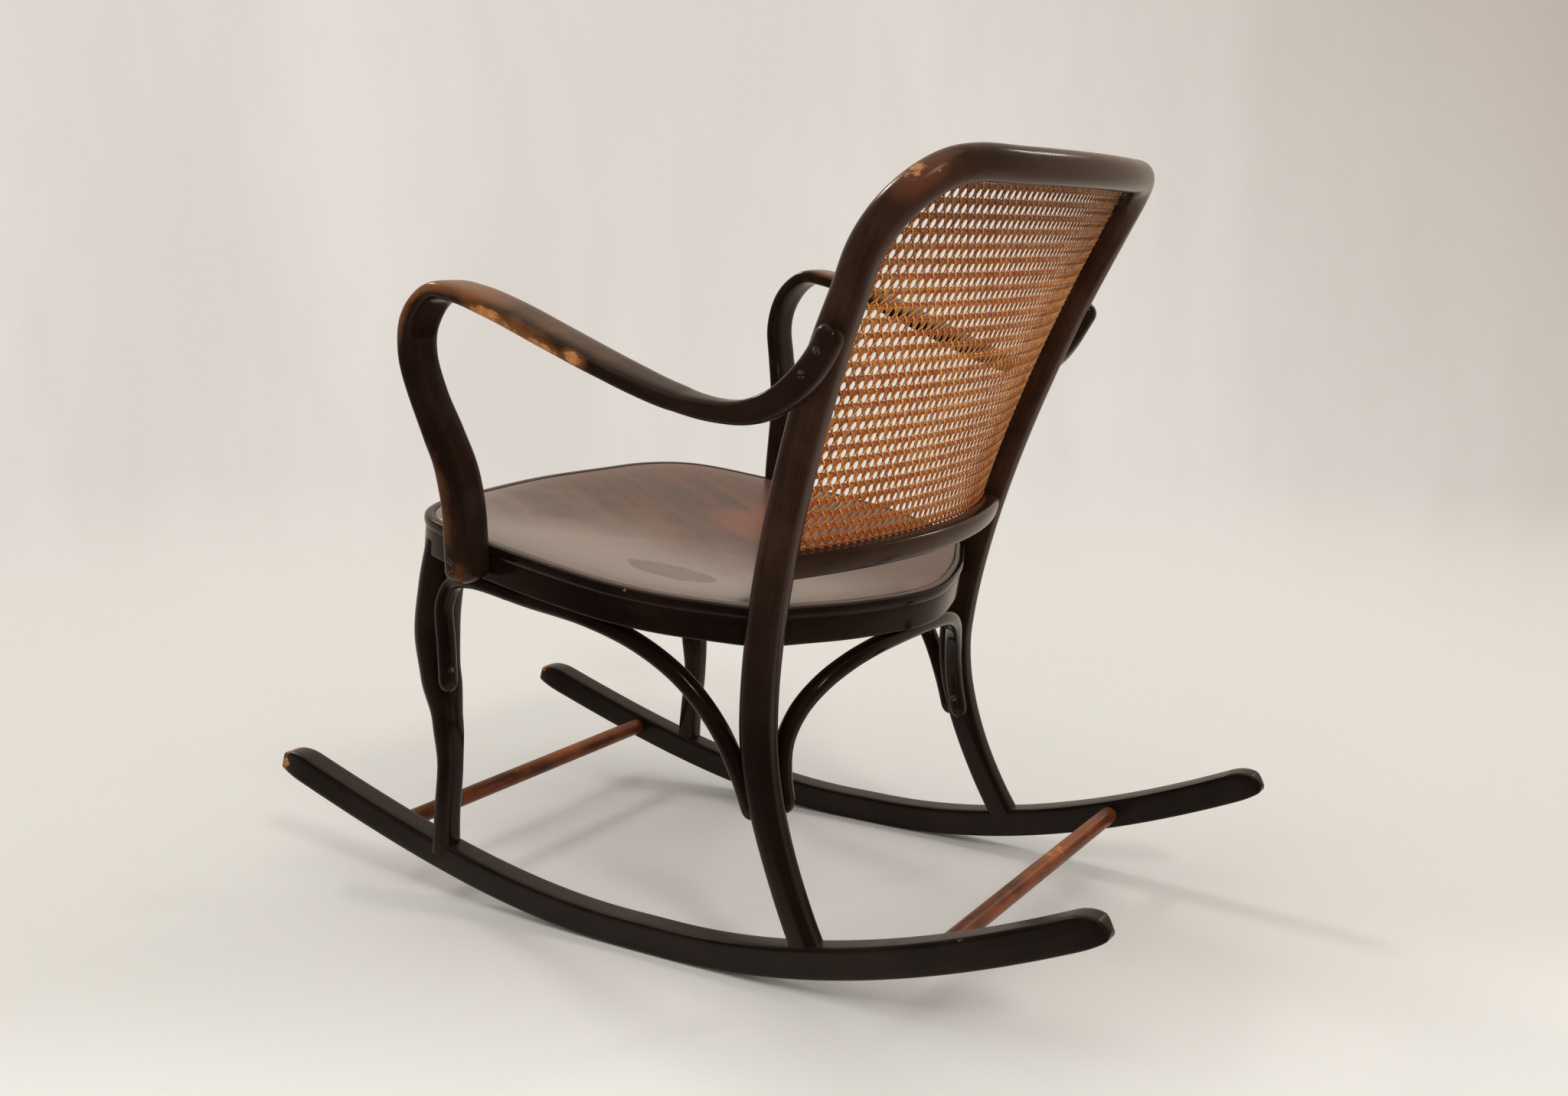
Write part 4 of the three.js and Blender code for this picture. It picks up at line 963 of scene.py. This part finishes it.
def make_arms():
    route = arm_route()

    def section(share):
        scale = tip_scale(share, route, ARM_END_THICK / 2, 0)
        squareness = ARM_SQUARE - ARM_END_ROUNDING * ramp(0.9, 0.97, share)
        return arm_wide(share) * scale, arm_thick(share) * scale, squareness, 0.0

    marks = [
        mark(0.515, 0.075, (1, 0.3), 1.7, wear_and_edge_shade=0.98, thinned=1.3),
        mark(0.64, 0.035, (1, 0.0), 2.2, wear_and_edge_shade=0.86, thinned=1.25),
        mark(0.585, 0.12, (1, 0.6), 3.0, wear_and_edge_shade=0.82, thinned=1.3),
        mark(0.56, 0.16, (1, 0.1), 1.0, thinned=0.85),
        mark(0.405, 0.09, (0.5, -1), 0.7, wear_and_edge_shade=0.34, thinned=1.3),
        mark(0.47, 0.12, (0.3, -1), 0.6, thinned=0.95),
        mark(0.35, 0.07, (0.8, -0.8), 0.8, thinned=0.8),
        mark(0.14, 0.22, (1, -0.3), 1.2, thinned=0.55),
        mark(0.0, 0.06, (1, 0), 1.0, wear_and_edge_shade=0.35, thinned=0.6),
        mark(0.6, 0.22, (0, -1), 0.7, thinned=0.62),
    ]
    skin = rod(route, X_AXIS, section, marks, sides=40, step=2.5)
    add_pair("bent_arm", skin, ARM_WOOD, "arm")


def brace_skin(route, guide):
    def section(share):
        scale = tip_scale(share, route, BRACE_TIP, 0)
        return BRACE_WIDE * scale, BRACE_DEEP * scale, BRACE_SQUARE, 0.0

    return rod(route, guide, section, sides=28)


def make_braces():
    side = brace_skin(side_brace_route(), X_AXIS)
    add_pair("side_brace", side, FRAME_WOOD, "brace")
    rear = brace_skin(rear_brace_route(), Y_AXIS)
    piece("arched_brace", rear, FRAME_WOOD, ["rear_brace"])


def make_lower_rail():
    """The rail leans back as the uprights do just above it."""
    end = bow_half_width(LOWER_RAIL_HEIGHT)
    route = Route([back_point(end * i / 4, LOWER_RAIL_HEIGHT, 0) for i in range(-4, 5)])
    behind = bow_behind(LOWER_RAIL_HEIGHT + CORNER_RADIUS) - bow_behind(LOWER_RAIL_HEIGHT)
    guide = Vector((0, behind, CORNER_RADIUS)).normalized()
    section = even(LOWER_RAIL_TALL, LOWER_RAIL_DEEP, LOWER_RAIL_SQUARE)
    marks = [mark(0.4, 0.3, (0, 1), 1.0, thinned=0.3)]
    skin = rod(route, guide, section, marks)
    piece("bent_lower_rail", skin, BOW_WOOD, ["lower_back_rail"])


# Seat


def rounded_outline(corners):
    """Points of an outline whose corners, given as (x, y, cut), are rounded off."""
    steps = 4
    points = []
    count = len(corners)
    for i, (x, y, cut) in enumerate(corners):
        here = Vector((x, y))
        before = Vector(corners[i - 1][:2])
        after = Vector(corners[(i + 1) % count][:2])
        start = here + (before - here).normalized() * cut
        end = here + (after - here).normalized() * cut
        for k in range(steps + 1):
            s = k / steps
            points.append(start * (1 - s) ** 2 + here * 2 * s * (1 - s) + end * s**2)
    return points


def ring_outline():
    """Section of the ring as (up, out) points: bead, outer wall, underside and rebate."""
    face = RING_THICK / 2
    bead = face + BEAD_OUT
    edge = REBATE_WIDE - face
    corners = [
        (-RING_TALL, -face, 2.5),
        (-REBATE_DEEP, -face, 0.6),
        (-REBATE_DEEP, edge, 0.6),
        (-0.3, edge, 0.5),
        (0.2, edge + 3.5, 1.5),
        (-0.1, bead - 2.5, 1.5),
        (-1.6, bead - 0.4, 1.4),
        (-5.5, bead + 0.1, 2.2),
        (-9.6, bead - 0.8, 1.6),
        (-10.6, face - 0.5, 0.8),
        (-13, face, 1.2),
        (-RING_TALL, face, 2.8),
    ]
    return rounded_outline(corners)


def make_ring():
    route = ring_route()
    outline = ring_outline()
    around = len(outline)
    along = 260
    shares = [i / along for i in range(along + 1)]
    frames = [(route.at(share), route.heading(share).cross(Z_AXIS)) for share in shares]

    def place(turn, share):
        centre, out = frames[round(share * along)]
        up_by, out_by = outline[round(turn * around) % around]
        spot = SEAT @ (centre + out * out_by + Z_AXIS * up_by)
        by_edge = up_by > -RING_WORN_EDGE or up_by < RING_WORN_EDGE - RING_TALL
        wood = (out_by, up_by, share * route.length)
        return spot, wood, 0.3 if by_edge else 0.0, 0.0

    piece("bent_ring", rolled(around, along, place), FRAME_WOOD, ["seat_ring"])


def make_panel():
    route = ring_route()
    inset = RING_THICK / 2 - REBATE_WIDE + CLEARANCE
    middle = Vector((0, -PANEL_CENTRE_AHEAD, 0))
    around = 240
    turns = [i / around for i in range(around + 1)]
    rim = [route.at(turn) + Z_AXIS.cross(route.heading(turn)) * inset for turn in turns]
    half = 44
    under = [(i / half, PANEL_THICK) for i in range(half)]
    edge = [(0.997, PANEL_THICK), (1.0, PANEL_THICK - 1), (1.0, 1.0), (0.9985, 0.3), (0.995, 0)]
    over = [(1 - i / half, 0) for i in range(1, half + 1)]
    levels = [*under, *edge, *over]
    last = len(levels) - 1

    def place(turn, share):
        spread, drop = levels[round(share * last)]
        flat = middle.lerp(rim[round(turn * around)], spread)
        dish = PANEL_DISH * (1 - min(1.0, spread / PANEL_BRIM) ** 2) ** 1.5
        flat.z = -dish - drop - CLEARANCE
        return SEAT @ flat, flat, 0.25 if 0.99 < spread else 0.0, 0.0

    piece("veneer_panel", rolled(around, last, place), SEAT_WOOD, ["seat_panel"])


# Cane


def cane_half_width(z):
    """Half the width of the cane at a height, with its edge tucked into the wood."""
    low = LOWER_RAIL_TOP - CANE_TUCK
    high = CROWN_HEIGHT - TOP_RAIL_ROUND / 2 + CANE_TUCK
    if not low <= z <= high:
        return 0.0
    radius = CORNER_RADIUS - TOP_RAIL_ROUND / 2 + CANE_TUCK
    if z <= SHOULDER_HEIGHT:
        return bow_half_width(z) - BOW_WIDE / 2 + CANE_TUCK
    turn = math.asin((z - SHOULDER_HEIGHT) / (high - SHOULDER_HEIGHT))
    edge = bow_half_width(SHOULDER_HEIGHT) - BOW_WIDE / 2 + CANE_TUCK
    return edge - radius * (1 - math.cos(turn))


# A pair of strands lies as far apart as two gaps. A strand's stations are a quarter of
# a cell apart, and it starts outside the wood.
STRAND_THICK = 0.72
STRAND_LIFT = 0.42
STRAND_OUTLINE = ((-0.5, 0.1), (-0.3, 0.5), (0.3, 0.5), (0.5, 0.1), (0.32, -0.5), (-0.32, -0.5))
STRAND_DRIFT = 0.18
STRAND_DRIFT_TURN = 0.7
STRAND_STATIONS = 230
UPRIGHT_WIDE = 1.95
UPRIGHT_GAP = 1.2
CROSSWISE_WIDE = 2.2
CROSSWISE_GAP = 1.3
DIAGONAL_WIDE = 1.8
DIAGONAL_LIFT = STRAND_LIFT + STRAND_THICK * 0.75
CELLS_OUT = 28
DIAGONALS_OUT = 62
FIRST_ROW = LOWER_RAIL_TOP + CANE_TALL * 0.55
WEAVE_FOOT = FIRST_ROW - 4 * CANE_TALL
STATION_WIDE = CANE_WIDE / 4
STATION_TALL = CANE_TALL / 4


def strand_runs(start, step):
    """The stretches of a straight strand that lie inside the cane's outline."""

    def inside(station):
        x, z = station[1]
        return abs(x) <= cane_half_width(z)

    spots = [(start[0] + step[0] * i, start[1] + step[1] * i) for i in range(STRAND_STATIONS)]
    return [list(run) for kept, run in itertools.groupby(enumerate(spots), inside) if kept]


def lay_strand(skin, layers, run, across, wide, lift, tint):
    """One flat strand along a run of (x, z) spots. lift(i) is its height in the weave."""
    sides = len(STRAND_OUTLINE)
    along = len(run) - 1
    if along < 2:
        return
    made = bmesh.ops.create_grid(skin, x_segments=sides, y_segments=along, size=1)["verts"]
    wander = tint * 40
    for corner in made:
        turn = round((corner.co.x + 1) / 2 * sides) % sides
        i, (x, z) = run[round((corner.co.y + 1) / 2 * along)]
        out, up = STRAND_OUTLINE[turn]
        drift = STRAND_DRIFT * math.sin(i * STRAND_DRIFT_TURN + wander)
        dx = across[0] * (out * wide + drift)
        dz = across[1] * (out * wide + drift)
        spot = back_point(x + dx, z + dz, up * STRAND_THICK + lift(i) - CANE_AHEAD)
        wood = (out * wide, wander, i * CANE_TALL / 4)
        # Strand edges get a rubbing value of 1, which the cane turns into painted shade.
        set_corner(corner, layers, spot, wood, 1.0 if abs(out) > 0.4 else 0.0, tint)


def weave(name, strands):
    """A piece of the cane from its strands, each with the side its width lies along."""
    skin, layers = new_skin()
    for start, step, *strand in strands:
        for run in strand_runs(start, step):
            lay_strand(skin, layers, run, *strand)
    close_up(skin)
    piece(name, skin, CANE, ["cane_panel"])


def pair_lift(high):
    """Height of a paired strand, which goes under and over the pairs that cross it."""
    return lambda i: (0.0, -high, 0.0, high)[i % 4]


def upright_strands(chance):
    for line in range(-CELLS_OUT, CELLS_OUT + 1):
        for twin in (-1, 1):
            tint = chance.random() * 0.5
            start = (line * CANE_WIDE + twin * UPRIGHT_GAP, WEAVE_FOOT)
            lift = pair_lift(STRAND_LIFT * twin)
            yield start, (0, STATION_TALL), (1, 0), UPRIGHT_WIDE, lift, tint


def crosswise_strands(chance):
    for line in range(-1, CELLS_OUT + 1):
        for twin in (-1, 1):
            tint = chance.random() * 0.5
            height = FIRST_ROW + line * CANE_TALL + twin * CROSSWISE_GAP
            start = (-CELLS_OUT * CANE_WIDE, height)
            lift = pair_lift(-STRAND_LIFT * twin)
            yield start, (STATION_WIDE, 0), (0, 1), CROSSWISE_WIDE, lift, tint


def diagonal_strands(chance):
    """Both ways, each over one kind of pair and under the other."""
    square_on = Vector((CANE_TALL, CANE_WIDE)).normalized()
    for way in (-1, 1):
        across = (square_on.x * way, -square_on.y)
        step = (STATION_WIDE * way, STATION_TALL)

        def lift(i):
            return DIAGONAL_LIFT * way * math.cos(i * math.pi / 2)

        for line in range(-DIAGONALS_OUT, DIAGONALS_OUT + 1):
            tint = 0.4 + chance.random() * 0.6
            start = ((line + 0.5) * CANE_WIDE * way, WEAVE_FOOT)
            yield start, step, across, DIAGONAL_WIDE, lift, tint


EDGING_OVER_RAIL = 0.6
EDGING_BEHIND_CANE = 0.8
EDGING_WIDE, EDGING_THICK = 1.6, 1.4
PEG_WIDE, PEG_THICK = 1.4, 1.8


def make_edging():
    """The binding strand along the foot of the cane, with a bump at each peg."""
    foot = LOWER_RAIL_TOP + EDGING_OVER_RAIL
    half = bow_half_width(foot) - BOW_WIDE / 2
    behind = EDGING_BEHIND_CANE - CANE_AHEAD
    steps = 24
    places = [half * i / steps for i in range(-steps, steps + 1)]
    route = Route([back_point(x, foot, behind) for x in places])

    def section(share):
        bump = math.cos(2 * math.pi * share * route.length / CANE_WIDE) ** 2
        return EDGING_WIDE + PEG_WIDE * bump, EDGING_THICK + PEG_THICK * bump, 2.0, 0.0

    skin = rod(route, Z_AXIS, section, sides=8, step=1.2)
    piece("cane_edging", skin, CANE, ["cane_panel"])


def make_cane():
    make_edging()
    chance = random.Random(7)
    weave("cane_uprights", upright_strands(chance))
    weave("cane_crosswise", crosswise_strands(chance))
    weave("cane_diagonals", diagonal_strands(chance))


# Screws

SCREW_RADIUS = 4.2
SCREW_DOME = 0.42
SCREW_SUNK = 0.9
SLOT_HALF_WIDE = 0.6
SLOT_DEEP = 1.3
ARM_FOOT_SCREWS = (11, 23)
ARM_END_SCREWS = (22, 46)
SIDE_BRACE_RING_SCREW = 190
BRACE_END_SCREW = 24
SEAT_SCREW_DROP = RING_TALL * 0.55


def screw_skin(place, direction, twist):
    """A domed wood screw with a slot, its crown towards the given direction."""
    skin = bmesh.new()
    bmesh.ops.create_uvsphere(skin, u_segments=28, v_segments=14, radius=SCREW_RADIUS)
    bmesh.ops.scale(skin, vec=(1, 1, SCREW_DOME), verts=skin.verts)
    for side in (-SLOT_HALF_WIDE, SLOT_HALF_WIDE):
        everything = [*skin.verts, *skin.edges, *skin.faces]
        bmesh.ops.bisect_plane(
            skin, geom=everything, plane_co=(side, 0, 0), plane_no=(1, 0, 0), dist=1e-4
        )
    slot = [
        face
        for face in skin.faces
        if abs(face.calc_center_median().x) < SLOT_HALF_WIDE and face.normal.z > 0.2
    ]
    made = bmesh.ops.extrude_face_region(skin, geom=slot)["geom"]
    bmesh.ops.delete(skin, geom=slot, context="FACES_KEEP_BOUNDARY")
    floor = [v for v in made if isinstance(v, bmesh.types.BMVert)]
    bmesh.ops.translate(skin, vec=(0, 0, -SLOT_DEEP), verts=floor)
    turn = Z_AXIS.rotation_difference(direction).to_matrix().to_4x4()
    spin = Matrix.Rotation(twist, 4, "Z")
    bmesh.ops.transform(skin, matrix=turn @ spin, verts=skin.verts)
    bmesh.ops.translate(skin, vec=place - direction * SCREW_SUNK, verts=skin.verts)
    for corner in skin.verts:
        corner.co = placed(corner.co)
    bmesh.ops.recalc_face_normals(skin, faces=skin.faces)
    return skin


def screw(node, place, direction, chance):
    skin = screw_skin(place, direction, chance.random() * math.pi)
    piece(node + "_head", skin, STEEL, [node])


def screw_pair(node, place, direction, chance):
    screw("left_" + node, place, direction, chance)
    flip = Vector((-1, 1, 1))
    screw("right_" + node, place * flip, direction * flip, chance)


def nearest_on(route, point):
    places = [route.at(i / 240) for i in range(241)]
    return min(places, key=lambda place: (place - point).length)


def make_screws():
    chance = random.Random(3)

    def fasten(node, centre, side, half=BRACE_DEEP / 2):
        """A pair of screws on the face of a rod, half its thickness from its middle."""
        screw_pair(node, centre + side * half, side, chance)

    arm = arm_route()
    for i, distance in enumerate(ARM_FOOT_SCREWS):
        fasten(f"arm_foot_screw_{i + 1}", arm.after(distance), X_AXIS, ARM_POST_WIDE / 2)
    for i, distance in enumerate(ARM_END_SCREWS):
        fasten(f"arm_end_screw_{i + 1}", arm.after(-distance), X_AXIS, ARM_END_WIDE / 2)

    side, rear = side_brace_route(), rear_brace_route()
    fasten("brace_ring_screw", side.after(SIDE_BRACE_RING_SCREW), -SEAT_UP)
    front = side.after(BRACE_END_SCREW)
    outward = (front - nearest_on(leg_route(), front)).normalized()
    fasten("brace_front_screw", front, outward)
    fasten("brace_rear_screw", side.after(-BRACE_END_SCREW), -Y_AXIS)
    fasten("rear_brace_screw", rear.after(BRACE_END_SCREW), -X_AXIS)
    crown = rear.at(0.5) - SEAT_UP * BRACE_DEEP / 2
    screw("rear_brace_ring_screw", crown, -SEAT_UP, chance)

    level = seat_point(0, bow_behind(SEAT_HEIGHT), -SEAT_SCREW_DROP).z
    upright = SEAT.inverted() @ upright_point(level)
    upright.z = 0
    ring = nearest_on(ring_route(), upright)
    inward = (ring - upright).normalized()
    inside = SEAT @ (ring + inward * RING_THICK / 2 - Z_AXIS * SEAT_SCREW_DROP)
    screw_pair("seat_screw", inside, (SEAT.to_3x3() @ inward).normalized(), chance)


make_rockers()
make_stretchers()
make_bow()
make_legs()
make_arms()
make_braces()
make_lower_rail()
make_ring()
make_panel()
make_cane()
make_screws()

# Floor, light and camera


def studio_floor():
    """Pale floor with painted light round and under the chair and before the camera, where
    the chair's shadow falls, that fades out far from the chair into the backdrop."""
    look = Look("studio_floor")
    spot = look.spot()
    length = look.length(spot)
    patches = look.noise(spot, 1.6)
    tint = look.blend(patches, colour(0.75, 0.722, 0.675), colour(0.79, 0.767, 0.725))
    # Painted light before the camera, where the chair's shadow falls.
    front = look.step(look.toward(spot, (0.82, 0.57, 0)), 0.12, 0.5)
    tint = look.blend(front * 0.9, tint, colour(0.96, 0.94, 0.895))
    # Painted pool of light round and under the chair, lightening its shadow.
    middle = 1.0 - look.step(length, 0.05, 0.6)
    tint = look.blend(middle * 0.7, tint, colour(0.94, 0.905, 0.86))
    fine = look.bump(look.noise(spot, 240.0, 2.0), 0.15, 0.001)
    matte = look.surface(tint, 0.9, fine, {"Specular IOR Level": 0.1})
    mirrored = look.node("LightPath", out="Is Glossy Ray")
    fade = look.step(length * (1.0 + mirrored * 3.5), 1.0, 3.4)
    clear = look.node("BsdfTransparent")
    return look.finish(look.node("MixShader", {}, {0: fade, 1: matte, 2: clear}))


def make_floor():
    skin = bmesh.new()
    bmesh.ops.create_circle(skin, segments=96, radius=4, cap_ends=True)
    floor = covered("studio_floor", skin, studio_floor())


def soft_sun(name, toward, wide, strength, tint=(1, 1, 1)):
    """Even light from one side. wide is how many degrees of the surround it fills."""
    lamp = bpy.data.lights.new(name, "SUN")
    lamp.angle = math.radians(wide)
    lamp.energy = strength
    lamp.color = tint
    turn = Vector(toward).to_track_quat("Z", "Y")
    added(name, lamp).rotation_euler = turn.to_euler()


def make_world():
    """A pale backdrop, dimmer high on one side. The polish mirrors it behind the chair,
    and a dim room in front. Everything is lit by a plain soft light."""
    look = Look("studio", "worlds")
    bpy.context.scene.world = look.material
    direction = look.node("TexCoord", out="Generated")
    patches = look.step(look.grain(direction, (9, 9, 2), 4.0, 0.6), 0.3, 0.7)
    wall = look.blend(patches, colour(0.7, 0.655, 0.6), colour(0.77, 0.725, 0.67))
    dim = look.step(look.toward(direction, (-0.461, 0.654, 0.499)), 0.1, 0.6)
    wall = look.blend(dim, wall, colour(0.42, 0.35, 0.3))
    eye, mirrored, through = (
        look.node("LightPath", out=f"Is {kind} Ray")
        for kind in ("Camera", "Glossy", "Transmission")
    )
    wall = look.blend(mirrored * 0.75, wall, colour(0.62, 0.5, 0.4))
    room = look.step(look.toward(direction, (0.86, 0.46, 0.2)), -0.45, 0.35)
    strength = 1.0 - room * (1.0 - eye) * 0.85
    lit = look.node("Background", {}, {"Color": colour(1.0, 0.97, 0.925), "Strength": 0.68})
    seen = look.node("Background", {}, {"Color": wall, "Strength": strength})
    look.finish(look.node("MixShader", {}, {0: eye + mirrored + through, 1: lit, 2: seen}))


# The camera's place in mm, its axes, and its lens as the photograph's pixels give it
CAMERA_PLACE = (1321.52, 904.33, 664.935)
CAMERA_RIGHT = (-0.47415148, 0.88037701, 0.01080263)
CAMERA_UP = (-0.16437674, -0.10057013, 0.98125732)
CAMERA_BACK = (0.86496291, 0.46348891, 0.19239898)
PICTURE_WIDE = 2048
FOCAL_LENGTH = 2108.04
SIDEWAYS_SHIFT = -200
SENSOR_WIDE = 36


def make_camera():
    lens = bpy.data.cameras.new("camera")
    lens.sensor_width = SENSOR_WIDE
    lens.sensor_fit = "HORIZONTAL"
    lens.lens = SENSOR_WIDE * FOCAL_LENGTH / PICTURE_WIDE
    lens.shift_x = SIDEWAYS_SHIFT / PICTURE_WIDE
    lens.clip_end = 50
    camera = added("camera", lens)
    turn = Matrix((CAMERA_RIGHT, CAMERA_UP, CAMERA_BACK)).transposed().to_4x4()
    camera.matrix_world = Matrix.Translation(placed(Vector(CAMERA_PLACE))) @ turn
    bpy.context.scene.camera = camera


WARM_WHITE = (1, 0.985, 0.96)

make_floor()
make_world()
make_camera()
soft_sun("overhead", (0.1, 0.1, 1), 55, 0.44)
soft_sun("left_window", (-0.3, -0.9, 0.75), 9, 0.5, WARM_WHITE)
soft_sun("right_window", (0.5, 0.9, 0.9), 9, 0.45, WARM_WHITE)
soft_sun("glint", (-0.9, 0.25, 0.6), 6, 0.12)

bpy.context.scene.view_settings.view_transform = "Standard"
